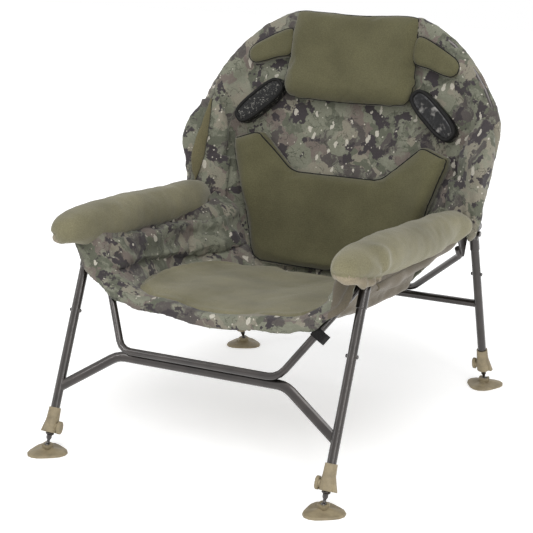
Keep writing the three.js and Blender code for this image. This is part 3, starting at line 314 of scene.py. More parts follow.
def pulled_about(finish, vector, scale, reach):
    """The coordinates with a noise added, so that a pattern's borders wander."""
    inputs = {"Scale": scale, "Detail": 4.0, "Vector": vector}
    pull = finish.node("ShaderNodeTexNoise", inputs).outputs["Color"]
    inputs = {0: pull, 1: (reach, reach, reach), 2: vector}
    return finish.node("ShaderNodeVectorMath", inputs, operation="MULTIPLY_ADD").outputs[0]


def spots(finish, vector, scale, size, rarity):
    """A mask of small rounded spots, one in some of the cells of a pattern."""
    cells = finish.cells(scale, vector=vector)
    split = finish.node("ShaderNodeSeparateColor", {0: cells.outputs["Color"]})
    near = finish.sums("LESS_THAN", cells.outputs["Distance"], size)
    chosen = finish.sums("GREATER_THAN", split.outputs[0], rarity)
    return finish.sums("MULTIPLY", near, chosen)


def printed_cloth(name, shift):
    finish = Finish(name, roughness=0.9)
    placed = finish.stretched(shift=shift)
    moved = pulled_about(finish, placed, 22.0, 0.09)
    blotches = finish.cells(23.0, vector=moved)
    split = finish.node("ShaderNodeSeparateColor", {0: blotches.outputs["Color"]})
    ground = finish.ramp(split.outputs[0], PRINT_COLOURS, constant=True)
    wash = finish.cloudy(34.0, detail=4.0, vector=moved, roughness=0.6)
    wash_mask = finish.ramp(wash, ((0.5, (0, 0, 0)), (0.6, (0.7, 0.7, 0.7))))
    printed = finish.mixed(wash_mask, ground, PALE_SMUDGE)
    dark = finish.cloudy(22.0, detail=4.0, vector=placed, roughness=0.6)
    dark_mask = finish.ramp(dark, ((0.56, (0, 0, 0)), (0.58, (1, 1, 1))))
    printed = finish.mixed(dark_mask, printed, DARK_BLOTCH)
    edges = finish.cells(44.0, vector=moved, feature="DISTANCE_TO_EDGE")
    lines = finish.ramp(edges.outputs["Distance"], ((0.0, (1, 1, 1)), (0.055, (0, 0, 0))))
    kept = finish.ramp(finish.cloudy(38.0, vector=placed), ((0.52, (0, 0, 0)), (0.57, (1, 1, 1))))
    twigs = finish.sums("MULTIPLY", finish.sums("MULTIPLY", lines, kept), 0.8)
    printed = finish.mixed(twigs, printed, TWIG)
    slanted = finish.stretched(scale=(1.0, 0.75, 0.6), turn=(0.5, 0.6, 0.4), shift=shift)
    wavering = pulled_about(finish, slanted, 95.0, 0.016)
    leaves = spots(finish, wavering, 46.0, 0.24, 0.76)
    dots = spots(finish, pulled_about(finish, placed, 200.0, 0.004), 120.0, 0.25, 0.9)
    flecked = finish.mixed(
        finish.sums("MULTIPLY", finish.sums("MAXIMUM", leaves, dots), 0.85), printed, LEAF_FLECK
    )
    fine = finish.cloudy(380.0, detail=2.0)
    speckle = finish.ramp(fine, ((0.3, (0.88, 0.88, 0.88)), (0.7, (1.08, 1.08, 1.08))))
    finish.colour(finish.mixed(1.0, flecked, speckle, "MULTIPLY"))
    crumple = finish.cloudy(70.0, detail=3.0)
    height = finish.sums("ADD", finish.sums("MULTIPLY", finish.weave(0.0009), 0.3), crumple)
    finish.bump(height, 0.45, 0.0013)
    finish.set({"Sheen Weight": 0.15, "Specular IOR Level": 0.25})
    return finish.material


camouflage = printed_cloth("printed cloth", (0.0, 0.0, 0.0))
camouflage_seat = printed_cloth("printed seat cloth", (3.1, 1.7, 0.4))

# %% [markdown]
# ## Hard finishes
#
# The tubes are powder coated in a dark bronze and are glossy. A coat over a dark, mostly
# metallic base gives the sharp streaks of light along them. The collars, knobs and feet are
# moulded in a khaki plastic whose colour has drifted a little and whose skin is finely grained.


# %% Make the hard finishes
def coated_steel():
    finish = Finish("bronze coated steel", roughness=0.3, metallic=0.8)
    drift = finish.cloudy(30.0, detail=5.0)
    finish.colour(finish.two_tone(drift, (40, 36, 34), (57, 51, 48)))
    finish.bump(finish.cloudy(900.0, detail=1.0), 0.12, 0.0003)
    finish.set({"Coat Weight": 1.0, "Coat Roughness": 0.12})
    return finish.material


def moulded_plastic():
    finish = Finish("khaki moulded plastic", roughness=0.55)
    drift = finish.cloudy(45.0, detail=6.0, roughness=0.65)
    finish.colour(finish.two_tone(drift, (112, 101, 79), (152, 139, 111), low=0.28))
    finish.bump(finish.cloudy(600.0, detail=2.0), 0.25, 0.0004)
    return finish.material


def black_trim(name, roughness):
    finish = Finish(name, roughness=roughness)
    finish.colour(finish.two_tone(finish.cloudy(200.0), (12, 12, 12), (24, 23, 22)))
    finish.bump(finish.weave(0.0012), 0.4, 0.0005)
    finish.set({"Specular IOR Level": 0.25})
    return finish.material


steel = coated_steel()
plastic = moulded_plastic()
piping_cloth = black_trim("black piping", 0.7)
webbing = black_trim("black webbing", 0.8)


def glossy_net():
    finish = Finish("black net", roughness=0.4)
    holes = finish.cells(230.0, feature="DISTANCE_TO_EDGE")
    # The glints are painted highlights: where a noise is high, the threads get a pale colour in
    # their base colour.
    glints = finish.ramp(finish.cloudy(160.0, detail=3.0), ((0.52, (0, 0, 0)), (0.62, (1, 1, 1))))
    threads = finish.ramp(holes.outputs["Distance"], ((0.04, (1, 1, 1)), (0.12, (0, 0, 0))))
    lit = finish.sums("MULTIPLY", glints, threads)
    finish.colour(finish.mixed(lit, srgb(20, 20, 20), srgb(126, 124, 118)))
    finish.bump(holes.outputs["Distance"], 0.6, 0.0012)
    finish.set({"Specular IOR Level": 0.25})
    return finish.material


def glossy_panel():
    finish = Finish("black glossy cloth", roughness=0.2)
    shade = finish.two_tone(finish.cloudy(60.0), (10, 10, 10), (24, 24, 26))
    # The glints are painted highlights: pale spots mixed into the base colour where a noise is
    # high.
    bright = ((0.57, (0, 0, 0)), (0.66, (0.9, 0.9, 0.9)))
    glints = finish.ramp(finish.cloudy(42.0, detail=3.0), bright)
    finish.colour(finish.mixed(glints, shade, srgb(128, 126, 122)))
    finish.bump(finish.cloudy(38.0, detail=4.0), 0.9, 0.004)
    finish.set({"Specular IOR Level": 0.35})
    return finish.material


net = glossy_net()
shiny = glossy_panel()
print("finishes made:", len(bpy.data.materials))

# %% [markdown]
# ## Working on a mesh
#
# An operator acts on whatever is selected, so these helpers first leave one piece selected and
# nothing else. A padded piece starts as a merged copy of the solid whose space it fills. It is
# remeshed evenly, which lets it be inflated as cloth: the pressure pushes every face out, and a
# cap keeps it from leaving its place.


# %% Helpers for meshes
def alone(piece):
    bpy.ops.object.select_all(action="DESELECT")
    piece.select_set(True)
    bpy.context.view_layer.objects.active = piece


def edit(piece, *steps):
    """Runs edit-mode steps on the whole of one piece."""
    alone(piece)
    bpy.ops.object.mode_set(mode="EDIT")
    bpy.ops.mesh.select_all(action="SELECT")
    for step in steps:
        step()
    bpy.ops.object.mode_set(mode="OBJECT")


def merged_copy(node, name):
    piece = bpy.data.objects.new(name, frame["nodes"][node].data.copy())
    scene.collection.objects.link(piece)
    piece.data.materials.clear()
    edit(
        piece,
        lambda: bpy.ops.mesh.customdata_custom_splitnormals_clear(),
        lambda: bpy.ops.mesh.remove_doubles(threshold=0.00003),
    )
    return piece


def modified(piece, kind, **settings):
    alone(piece)
    modifier = piece.modifiers.new(kind.lower(), kind)
    for key, value in settings.items():
        setattr(modifier, key, value)
    bpy.ops.object.modifier_apply(modifier=modifier.name)
    return piece


def evened(piece, voxel, rounds):
    modified(piece, "REMESH", mode="VOXEL", voxel_size=voxel)
    modified(piece, "SMOOTH", factor=0.5, iterations=rounds)
    return piece


CLOTH_FRAMES = 18  # how long a piece is blown up


def inflated(piece, pressure, cap):
    """Blows the piece up as cloth, and lets no point move further than the cap."""
    start = [vertex.co.copy() for vertex in piece.data.vertices]
    alone(piece)
    cloth = piece.modifiers.new("cloth", "CLOTH")
    cloth.settings.quality = 4
    cloth.settings.use_pressure = True
    cloth.settings.uniform_pressure_force = pressure
    cloth.settings.effector_weights.gravity = 0
    cloth.collision_settings.use_collision = False
    for number in range(1, CLOTH_FRAMES + 1):
        scene.frame_set(number)
    bpy.ops.object.modifier_apply(modifier=cloth.name)
    scene.frame_set(1)
    for vertex, was in zip(piece.data.vertices, start):
        moved = vertex.co - was
        if moved.length > cap:
            vertex.co = was + moved.normalized() * cap
    return piece


def reshaped(piece, move):
    """Puts every point of a piece where a function says."""
    for vertex in piece.data.vertices:
        vertex.co = move(vertex.co)
    piece.data.update()


def gridded(name, columns, rows):
    bpy.ops.mesh.primitive_grid_add(x_subdivisions=columns, y_subdivisions=rows, size=1)
    bpy.context.object.name = name
    return bpy.context.object


def thickened(piece, thickness, rounded=True):
    """Gives a grid the thickness of its cloth, and turns its faces outward."""
    modified(piece, "SOLIDIFY", thickness=thickness, offset=0)
    if rounded:
        modified(piece, "SUBSURF", levels=1, render_levels=1)
    edit(piece, lambda: bpy.ops.mesh.normals_make_consistent(inside=False))


def cloth_area(sheet, digits=4):
    """The area in square metres of a sheet, whose mesh has both its faces."""
    return round(sum(face.area for face in sheet.data.polygons) / 2, digits)


def creased(piece, depth, size, seed, where=None):
    """Moves a piece's points in and out by a smooth noise, for soft folds."""
    shift = Vector((seed * 7.3, seed * 3.1, seed * 5.7))
    normals = [vertex.normal.copy() for vertex in piece.data.vertices]
    for vertex, normal in zip(piece.data.vertices, normals):
        share = 1.0 if where is None else where(vertex.co)
        if share <= 0:
            continue
        height = noise.fractal(vertex.co / size + shift, 0.9, 2.1, 3)
        vertex.co += normal * (depth * share * height)
    piece.data.update()
    return piece


def finished(piece, body, slot_name, material, *nodes):
    """Gives a piece its finish and its place in the chair."""
    if material is not None:
        piece.data.materials.clear()
        piece.data.materials.append(material)
    alone(piece)
    bpy.ops.object.shade_smooth()
    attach(piece, body)
    if nodes:
        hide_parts(*nodes)
    return piece


def tell(*pieces):
    """Prints how large each piece came out, and how many faces it has."""
    for piece in pieces:
        spots = [vertex.co for vertex in piece.data.vertices]
        spans = (max(s[axis] for s in spots) - min(s[axis] for s in spots) for axis in range(3))
        size = " by ".join(str(round(1000 * span)) for span in spans)
        print(f"{piece.name} measures {size} mm, with {len(piece.data.polygons)} faces")


def surface_of(*pieces):
    """A tree of the pieces' faces, which rays can be cast at."""
    points, faces = [], []
    for piece in pieces:
        base = len(points)
        points.extend(vertex.co.copy() for vertex in piece.data.vertices)
        faces.extend([base + i for i in face.vertices] for face in piece.data.polygons)
    return BVHTree.FromPolygons(points, faces)


SIDES = (("left", -1), ("right", 1))


def ease(start, end, value):
    """0 at the start and 1 at the end, with a smooth rise between them."""
    share = max(0.0, min(1.0, (value - start) / (end - start)))
    return share * share * (3 - 2 * share)


def smooth_loop(points, count, closed=True):
    """A smooth line through points, with its new points evenly numbered between them."""
    total = len(points)
    spans = total if closed else total - 1
    line = []
    for step in range(count):
        place = step * spans / (count if closed else count - 1)
        first = min(int(place), spans - 1)
        share = place - first
        a, b, c, d = (
            points[(first + k) % total] if closed else points[max(0, min(total - 1, first + k))]
            for k in (-1, 0, 1, 2)
        )
        line.append(
            0.5 * ((2 * b) + (c - a) * share + (2 * a - 5 * b + 4 * c - d) * share ** 2
                   + (3 * b - a - 3 * c + d) * share ** 3)
        )
    return line


def cord_trim(name, line, radius, closed=True):
    """A thin round trim along a line of the back, such as piping in a seam."""
    curve = bpy.data.curves.new(name, "CURVE")
    curve.dimensions = "3D"
    curve.bevel_depth = radius
    curve.bevel_resolution = 2
    spline = curve.splines.new("POLY")
    spline.points.add(len(line) - 1)
    for point, spot in zip(spline.points, line):
        point.co = (*spot, 1)
    spline.use_cyclic_u = closed
    curve.use_fill_caps = not closed
    piece = bpy.data.objects.new(name, curve)
    scene.collection.objects.link(piece)
    alone(piece)
    bpy.ops.object.convert(target="MESH")
    piece = bpy.context.object
    return finished(piece, "back", "black_webbing", piping_cloth)


# %% [markdown]
# ## The rigid parts
#
# The tubes, brackets, bolts, collars, knobs and feet keep the shapes that they were drawn with.
# Their solids come as loose flat triangles, which would show their facets, so each one gets a
# merged copy that is shaded smooth across its shallow edges, with its sharp ones rounded off.

# %% Finish the rigid parts
ROUNDING = 0.0006
BEVEL_ANGLE = math.radians(50)
SMOOTH_ANGLE = math.radians(38)


def rigid_copy(node, body, material):
    piece = merged_copy(node, node + "_finished")
    modified(
        piece, "BEVEL", width=ROUNDING, segments=1, limit_method="ANGLE", angle_limit=BEVEL_ANGLE
    )
    piece.data.materials.append(material)
    alone(piece)
    bpy.ops.object.shade_smooth_by_angle(angle=SMOOTH_ANGLE)
    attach(piece, body)
    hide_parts(node)
    return piece


slot_of = {row["node"]: row["material_slot"] for row in frame["record"]["subparts"]}
bodies = frame["record"]["behaviour"]["bodies"]
body_of = {node: body for body, members in bodies.items() for node in members}
for node in sorted(frame["nodes"]):
    if slot_of[node] == "bronze_steel":
        rigid_copy(node, body_of[node], steel)
    elif slot_of[node] == "khaki_plastic":
        rigid_copy(node, body_of[node], plastic)
slots = list(slot_of.values())
print(slots.count("bronze_steel"), "steel parts and", slots.count("khaki_plastic"), "of plastic")

# %% [markdown]
# ## The seat
#
# The seat is a padded sling that hangs between the arms, with a cushion in it and a padded
# panel on each side. The sling is printed cloth inside and along its front roll, and plain
# taupe cloth on the outside. Its folds run down from the arms, so its creases are stretched.


# %% Let the seat sink
SINK = 0.022  # how far the seat's sides have sunk below the drawn solids
DRAW_IN = 0.046  # how far the rear of the seat's sides is drawn in


def sunk(point):
    """A point of the seat's cloth after years of use: its sides deeper, its rear narrower."""
    wide = abs(point.x)
    fall = SINK * ease(0.09, 0.2, wide) * ease(0.432, 0.395, point.z)
    below_arm = ease(0.44, 0.41, point.z)
    inward = DRAW_IN * ease(0.05, 0.23, point.y) * ease(0.12, 0.26, wide) * below_arm
    return Vector((point.x - math.copysign(inward, point.x), point.y, point.z - fall))


# %% Keep the padding inside the sling
WALL = 0.003  # how far a padded piece stays inside the outer wall of the sling


def pushed_up(piece):
    """Gives a soft part of the seat a mesh of its own."""
    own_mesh(piece)


def held_inside(piece, outer):
    """Keeps a padded piece within the outer wall of the sling that it lies in."""
    wall = surface_of(outer)
    for vertex in piece.data.vertices:
        spot = vertex.co
        side = math.copysign(1, spot.x)
        hit = wall.ray_cast(Vector((side * 0.6, spot.y, spot.z)), Vector((-side, 0, 0)), 0.5)[0]
        if hit is not None and abs(spot.x) > abs(hit.x) - WALL:
            spot.x = hit.x - side * WALL
        hit = wall.ray_cast(Vector((spot.x, spot.y, 0.05)), Vector((0, 0, 1)), 0.5)[0]
        if hit is not None and spot.z < hit.z + WALL:
            spot.z = hit.z + WALL
    piece.data.update()


# %% Make the sling
CREASE_HEIGHT = 0.326  # where the rolls' lower edges are drawn down


def crease_push(point):
    """The push away from the sitter along the crease below each side roll."""
    share = math.exp(-(((point.z - CREASE_HEIGHT) / 0.012) ** 2)) * ease(0.2, 0.23, abs(point.x))
    return Vector((math.copysign(0.007 * share, point.x), 0, -0.005 * share))


def slack(point):
    """How loose the cloth is: nearly taut in the middle, slack at the sides."""
    return 0.35 + 0.65 * min(1.0, abs(point.x) / 0.28)


def below_right_cuff(face):
    """Whether a face is in the plain corner under the front of the right arm."""
    spot = face.center
    return spot.x > 0.272 and spot.y < -0.24 and spot.z > 0.35 and face.normal.y < -0.2


sling = merged_copy("seat_sling", "seat_sling_cloth")
evened(sling, 0.005, 2)
for vertex in sling.data.vertices:
    vertex.co.z += 0.008 * ease(0.395, 0.43, vertex.co.z)
    vertex.co = sunk(vertex.co)
    vertex.co += crease_push(vertex.co)
    vertex.co.y -= 0.014 * ease(0.16, 0.235, vertex.co.y) * ease(0.35, 0.3, vertex.co.z)
sling.data.update()
creased(sling, 0.0035, 0.06, 1, slack)
finished(sling, "seat_frame", "camouflage_cloth", camouflage_seat, "seat_sling")
sling.data.materials.append(taupe)
SLING_FRONT_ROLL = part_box("seat_sling")[0].y + 0.05
for face in sling.data.polygons:
    middle = Vector((0, face.center.y, 0.42))
    outward = (face.center - middle).dot(face.normal) > 0
    if outward and face.center.y > SLING_FRONT_ROLL + 0.01 * math.sin(face.center.x * 40):
        face.material_index = 1
    elif below_right_cuff(face):
        face.material_index = 1
pushed_up(sling)
tell(sling)

# %% [markdown]
# The cushion lies in the sling, and a padded roll lies along each side of it. Each starts as a
# copy of its solid, takes the same sinking as the sling and is blown up as cloth. Blowing them
# up can press them through the sling, so rays are cast at its outer wall, and whatever has gone
# too far is brought back inside. The rolls also get short folds across them, as quilted cloth
# has where it bends.

# %% Make the cushion and the side panels
cushion = merged_copy("seat_cushion", "seat_cushion_padded")
edit(cushion, lambda: bpy.ops.transform.shrink_fatten(value=-0.003))
evened(cushion, 0.0055, 4)
for vertex in cushion.data.vertices:
    spot = sunk(vertex.co)
    forward = ease(-0.08, -0.25, spot.y)
    corner = forward * ease(0.1, 0.2, abs(spot.x))
    spot += Vector((0, -0.026 * forward - 0.016 * corner, -0.011 * forward))
    vertex.co = spot
cushion.data.update()
inflated(cushion, 3.0, 0.006)
creased(cushion, 0.0016, 0.07, 2)
held_inside(cushion, sling)
finished(cushion, "seat_frame", "olive_seat_cloth", olive_seat, "seat_cushion")
pushed_up(cushion)
tell(cushion)


def upright_folds(point):
    """Short folds across a padded roll, one every few centimetres."""
    return 0.5 + 0.5 * math.sin(point.y * 95 + 2.5 * noise.noise(point * 18))


PANEL_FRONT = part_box("left_side_panel")[0].y
for side in ("left", "right"):
    panel = merged_copy(f"{side}_side_panel", f"{side}_side_panel_padded")
    evened(panel, 0.0045, 3)
    for vertex in panel.data.vertices:
        vertex.co.z += 0.006 * ease(0.395, 0.43, vertex.co.z)
        spot = sunk(vertex.co)
        forward = ease(PANEL_FRONT + 0.2, PANEL_FRONT, spot.y)
        inward = 0.013 * ease(0.415, 0.36, spot.z)
        outward = math.copysign(0.012 * forward - inward, spot.x)
        vertex.co = spot + Vector((outward, -0.034 * forward, 0))
    panel.data.update()
    inflated(panel, 4.0, 0.011)
    creased(panel, 0.0055, 0.04, 3)
    creased(panel, 0.0045, 0.2, 8, upright_folds)
    held_inside(panel, sling)
    finished(panel, "seat_frame", "camouflage_cloth", camouflage_seat, f"{side}_side_panel")
    pushed_up(panel)
    tell(panel)

# %% [markdown]
# ## The arm pads
#
# Each arm pad is a thick sleeve of foam round the side rail, fuller at the front. It is blown
# up a little, so that the cloth looks tight over the foam. The sleeve's inner edge hangs lower
# than its outer one, over the top of the seat's side. Low at the front its cloth is gathered
# to one stitched point, and folds run out from there like spokes.

# %% Make the arm pads
ARM_MIDDLE = 0.33
ARM_FRONT, ARM_REAR = (corner.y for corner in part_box("left_arm_pad"))
GATHER = Vector((0.372, -0.262, 0.437))
RAIL_ENDS = ((-0.357, 0.4623), (0.225, 0.4479))  # how far back and how high the rail is there


def filled_channel(arm, across):
    """Fills the channel that the rail runs in, so that the foam is one closed form."""
    front, rear = (Vector((across, y, z)) for y, z in RAIL_ENDS)
    run = rear - front
    bpy.ops.mesh.primitive_cylinder_add(
        vertices=24, radius=0.0125, depth=run.length, location=(front + rear) / 2,
        rotation=run.to_track_quat("Z", "Y").to_euler(),
    )
    plug = bpy.context.object
    alone(arm)
    plug.select_set(True)
    bpy.ops.object.join()


def settled_arm(point):
    """A point of an arm pad, sagged on its rail, with a hanging inner edge and a full rear end."""
    wide = abs(point.x) - ARM_MIDDLE
    inner = ease(0.0, 0.035, -wide)
    low = ease(0.485, 0.44, point.z)
    above_leg = 1 - ease(0.022, 0.01, abs(wide)) * ease(0.455, 0.44, point.z)
    sag = 0.013 * above_leg * (1 - ease(0.0, 0.19, point.y))
    hanging = 0.011 * ease(0.05, 0.2, point.y - ARM_FRONT) + 0.012 * ease(-0.05, 0.2, point.y)
    sag += hanging * inner * low
    sag += 0.008 * ease(0.0, 0.03, wide) * low * ease(-0.2, -0.27, point.y)
    rear = ease(ARM_REAR - 0.1, ARM_REAR, point.y)
    leaning = max(-1.0, min(1.0, wide / 0.03))
    spread = 0.009 * ease(ARM_REAR - 0.07, ARM_REAR - 0.01, point.y) * leaning
    tip = 0.022 * inner * ease(ARM_REAR - 0.07, ARM_REAR, point.y)
    return Vector((
        point.x + math.copysign(spread, point.x), point.y + 0.016 * rear + tip, point.z - sag
    ))


# The front of each arm is closed with a folded cuff of sand coloured cloth, below this line.
CUFF_LINE = ((-0.4, 0.474), (-0.33, 0.454), (-0.262, 0.437), (-0.19, 0.424))


def below_cuff_line(point):
    """How far a point of an arm pad is below the cuff's line, or None where there is no cuff."""
    outer_half = abs(point.x) >= 0.336
    right_front = point.x > 0.305 and point.y < -0.33
    if point.y > CUFF_LINE[-1][0] or not (outer_half or right_front):
        return None
    for (near, first), (far, second) in zip(CUFF_LINE, CUFF_LINE[1:]):
        if point.y <= far:
            return first + (second - first) * (point.y - near) / (far - near) - point.z
    return None


def gather_cuff(arm):
    """Folds the cloth of the cuff, and draws in the seam above it."""
    normals = [vertex.normal.copy() for vertex in arm.data.vertices]
    for vertex, normal in zip(arm.data.vertices, normals):
        below = below_cuff_line(vertex.co)
        if below is None:
            continue
        groove = 0.006 * math.exp(-((below / 0.0045) ** 2))
        run = vertex.co.y * 120 + vertex.co.z * 60 + 4 * noise.noise(vertex.co * 22)
        fold = 0.0022 * math.sin(run) * ease(0.0, 0.012, below)
        vertex.co += normal * (fold - groove)
    arm.data.update()
    for face in arm.data.polygons:
        below = below_cuff_line(face.center)
        if below is not None and below > 0:
            face.material_index = 1


def gathered_folds(piece, spot, reach, depth):
    """Draws the cloth in at one point, with folds that run out from it."""
    for vertex in piece.data.vertices:
        away = vertex.co - spot
        share = away.length / reach
        if share >= 1:
            continue
        turn = math.atan2(away.z, away.y)
        spokes = math.cos(turn * 5 + 6 * noise.noise(vertex.co * 9))
        pull = depth * math.exp(-((share / 0.22) ** 2))
        fold = 0.35 * depth * spokes * share * (1 - share) * 4
        vertex.co += vertex.normal * (fold - pull)
    piece.data.update()


for side, sign in SIDES:
    arm = merged_copy(f"{side}_arm_pad", f"{side}_arm_pad_padded")
    edit(arm, lambda: bpy.ops.transform.shrink_fatten(value=-0.002))
    filled_channel(arm, sign * ARM_MIDDLE)
    evened(arm, 0.0055, 6)
    reshaped(arm, settled_arm)
    inflated(arm, 3.0, 0.006)
    creased(arm, 0.0028, 0.08, 4)
    gathered_folds(arm, Vector((GATHER.x * sign, GATHER.y, GATHER.z)), 0.075, 0.009)
    finished(arm, "seat_frame", "olive_seat_cloth", olive_seat, f"{side}_arm_pad")
    arm.data.materials.append(sand)
    gather_cuff(arm)
    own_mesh(arm)
    tell(arm)

# %% [markdown]
# ## The hems below the arms
#
# The seat's cloth is carried up to the side rails. A narrow hem of it shows below the outer
# side of each arm pad, from the front leg to the rear bracket. It starts as a thin upright
# strip, whose corners follow the underside of the arm pad.

# %% Make the hems
HEM_FRONT, HEM_REAR = -0.258, 0.262
HEM_STEPS = 80
HEM_TOPS = ((0.0, 0.425), (0.45, 0.42), (0.75, 0.424), (0.9, 0.436), (1.0, 0.446))
HEM_BOTTOMS = (
    (0.0, 0.41), (0.1, 0.4), (0.22, 0.397), (0.45, 0.398),
    (0.75, 0.404), (0.9, 0.414), (1.0, 0.428),
)


def along(pairs, share):
    """A height read off a list of shares and heights."""
    for (low, first), (high, second) in zip(pairs, pairs[1:]):
        if share <= high:
            return first + (second - first) * ease(low, high, share)
    return pairs[-1][1]


for side, sign in SIDES:
    hem = gridded(f"{side}_arm_hem", HEM_STEPS, 6)
    for vertex in hem.data.vertices:
        share, rise = vertex.co.x + 0.5, vertex.co.y + 0.5
        bottom, top = along(HEM_BOTTOMS, share), along(HEM_TOPS, share)
        wave = 0.004 * noise.noise(Vector((share * 9, rise * 1.5, sign * 4.0)))
        out = 0.35 + 0.005 * math.sin(rise * math.pi) + wave
        out += 0.006 * ease(0.3, 0.2, share)
        back = HEM_FRONT + (HEM_REAR - HEM_FRONT) * share
        vertex.co = (sign * out, back, bottom + (top - bottom) * rise)
    hem.data.update()
    thickened(hem, 0.004)
    finished(hem, "seat_frame", "camouflage_cloth", taupe)
    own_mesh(hem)
    print(hem.name, "is cut from", cloth_area(hem), "square metres")

# %% [markdown]
# ## The back
#
# The back is a padded board of printed cloth, sewn round a hoop of tube. Its pads lie on a
# plane that leans back from the two pivots, so a small helper turns a place on that plane,
# across, up and over it, into a point of the chair.

# %% Lay out the back's plane
BACK_PIVOT = Vector((0, 0.703 - FRONT_LINE_TO_MIDDLE, 0.412))
BACK_LEAN = math.radians(16.3)
UP_THE_BACK = Vector((0, math.sin(BACK_LEAN), math.cos(BACK_LEAN)))
OUT_OF_BACK = Vector((0, -math.cos(BACK_LEAN), math.sin(BACK_LEAN)))


def on_back(across, up, over):
    return BACK_PIVOT + Vector((across, 0, 0)) + UP_THE_BACK * up + OUT_OF_BACK * over


def back_share(point):
    """Where a point of the chair is on the back's plane: across, up and over."""
    from_pivot = point - BACK_PIVOT
    return from_pivot.x, from_pivot.dot(UP_THE_BACK), from_pivot.dot(OUT_OF_BACK)


# %% Helpers for pads on the back
def both_sides(half):
    """A closed outline in metres, from one half of it in millimetres."""
    right = [Vector((x, y)) / 1000 for x, y in half]
    left = [Vector((-p.x, p.y)) for p in reversed(right) if p.x != 0]
    return right + left


def depth_inside(outline):
    """A function that tells how far a place is from the outline's nearest point."""
    dense = smooth_loop(outline, 900)
    tree = KDTree(len(dense))
    for number, spot in enumerate(dense):
        tree.insert((spot.x, spot.y, 0), number)
    tree.balance()
    return lambda across, up: tree.find((across, up, 0))[2]


def plate_on_back(name, outline, low, high, voxel):
    """An even plate over an outline on the back's plane, from one height to another."""
    bpy.ops.mesh.primitive_circle_add(vertices=len(outline), radius=0.1, fill_type="NGON")
    plate = bpy.context.object
    plate.name = name
    for vertex, spot in zip(plate.data.vertices, outline):
        vertex.co = on_back(spot.x, spot.y, low)
    rise = OUT_OF_BACK * (high - low)
    edit(
        plate,
        lambda: bpy.ops.mesh.extrude_region_move(TRANSFORM_OT_translate={"value": rise}),
        lambda: bpy.ops.mesh.select_all(action="SELECT"),
        lambda: bpy.ops.mesh.normals_make_consistent(inside=False),
    )
    modified(plate, "REMESH", mode="VOXEL", voxel_size=voxel)
    return plate


PAD_BLANK = 0.02  # the thickness of a pad's blank, before its front is shaped
RIM_SHARE = 0.45  # how high a pad stands at its rim, as a share of its full height


def shaped_pad(name, outline, base, front, round_width, voxel=0.0045):
    """A pad with an even base, whose front rises from its rim in a quarter round."""
    inside = depth_inside(outline)
    pad = plate_on_back(name, outline, base, base + PAD_BLANK, voxel)
    for vertex in pad.data.vertices:
        across, up, over = back_share(vertex.co)
        share = max(0.0, min(1.0, (over - base) / PAD_BLANK))
        fall = 1 - min(1.0, inside(across, up) / round_width)
        crown = RIM_SHARE + (1 - RIM_SHARE) * math.sqrt(max(0.0, 1 - fall * fall))
        vertex.co = on_back(across, up, base + (front(across, up) - base) * share * crown)
    pad.data.update()
    return modified(pad, "SMOOTH", factor=0.5, iterations=2)


def rim_piping(name, outline, pad, radius, inset):
    """Piping that lies on a pad's front, a little inside its outline."""
    skin = surface_of(pad)
    loop = smooth_loop(outline, 260)
    turning = sum(a.cross(b) for a, b in zip(loop, loop[1:] + loop[:1]))
    line = []
    for before, spot, after in zip(loop[-1:] + loop[:-1], loop, loop[1:] + loop[:1]):
        run = (after - before).normalized()
        inward = Vector((-run.y, run.x)) * math.copysign(1, turning)
        for extra in (0, 0.002, 0.004, 0.007):
            place = spot + inward * (inset + extra)
            hit = skin.ray_cast(on_back(place.x, place.y, 0.12), -OUT_OF_BACK, 0.2)[0]
            if hit is not None:
                line.append(hit + OUT_OF_BACK * radius * 0.2)
                break
    eased = [(a + b + c) / 3 for a, b, c in zip(line[-1:] + line[:-1], line, line[1:] + line[:1])]
    return cord_trim(name, eased, radius)


# %% [markdown]
# The board is a flat plate of padding that is thicker along its rim, where the cloth runs round
# the hoop. Its outline is drawn once, as half of it, and mirrored. A plate extruded from that
# outline is remeshed evenly, and then every point is moved over the plane by how far it is from
# the edge, which gives the rim and its rounding without any seam in the mesh.

# %% Make the back board
BOARD_HALF = (
    (0, -156), (120, -156), (190, -144), (226, -112), (258, -78), (284, -42), (298, 0), (304, 40),
    (312, 68), (342, 72), (371, 100), (377, 165), (383, 221), (367, 284), (331, 342), (286, 395),
    (226, 443), (168, 470), (150, 474), (128, 463), (71, 461),
)
board_outline = smooth_loop(both_sides(BOARD_HALF), 220)
board_inside = depth_inside(board_outline)
board = plate_on_back("back_board_padded", board_outline, -0.014, 0.012, 0.006)
modified(board, "SMOOTH", factor=0.5, iterations=2)
for vertex in board.data.vertices:
    across, up, over = back_share(vertex.co)
    inner = board_inside(across, up)
    rim = ease(0.075, 0.03, inner) * ease(-0.04, 0.06, up)
    rounding = 0.006 * ease(0.014, 0.0, inner)
    front = -0.006 + 0.018 * rim - rounding
    rear = -0.022 + 0.010 * ease(0.09, 0.02, inner) + rounding
    share = ease(-0.0145, 0.0125, over)
    vertex.co = on_back(across, up, rear + (front - rear) * share)
board.data.update()
creased(board, 0.003, 0.055, 5)
finished(board, "back", "camouflage_cloth", camouflage, "back_panel")
tell(board)

# %% [markdown]
# The wings are thick rolls that stand forward along both sides of the back, and their cloth
# runs on down to the ends of the arms. They start as copies of the solids, whose lower ends
# are drawn further down.

# %% Make the wings
WING_DROP = 0.05  # how far the lower ends run on down, in front of the brackets
BRACKET_CLEAR = 0.017  # how far over the back's plane the brackets are cleared


def lowered_wing(point):
    across, up, over = back_share(point)
    lower = ease(0.125, 0.055, up)
    inward = 0.014 * lower * ease(0.35, 0.31, abs(across))
    thinner = 0.4 * lower * ease(0.03, 0.07, over)
    over = max(over * (1 - thinner), BRACKET_CLEAR) if lower > 0.35 else over * (1 - thinner)
    return on_back(across - math.copysign(inward, across), up - WING_DROP * lower, over)


def pressed_flat(piece):
    """Gives a piece of the back a mesh of its own."""
    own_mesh(piece)


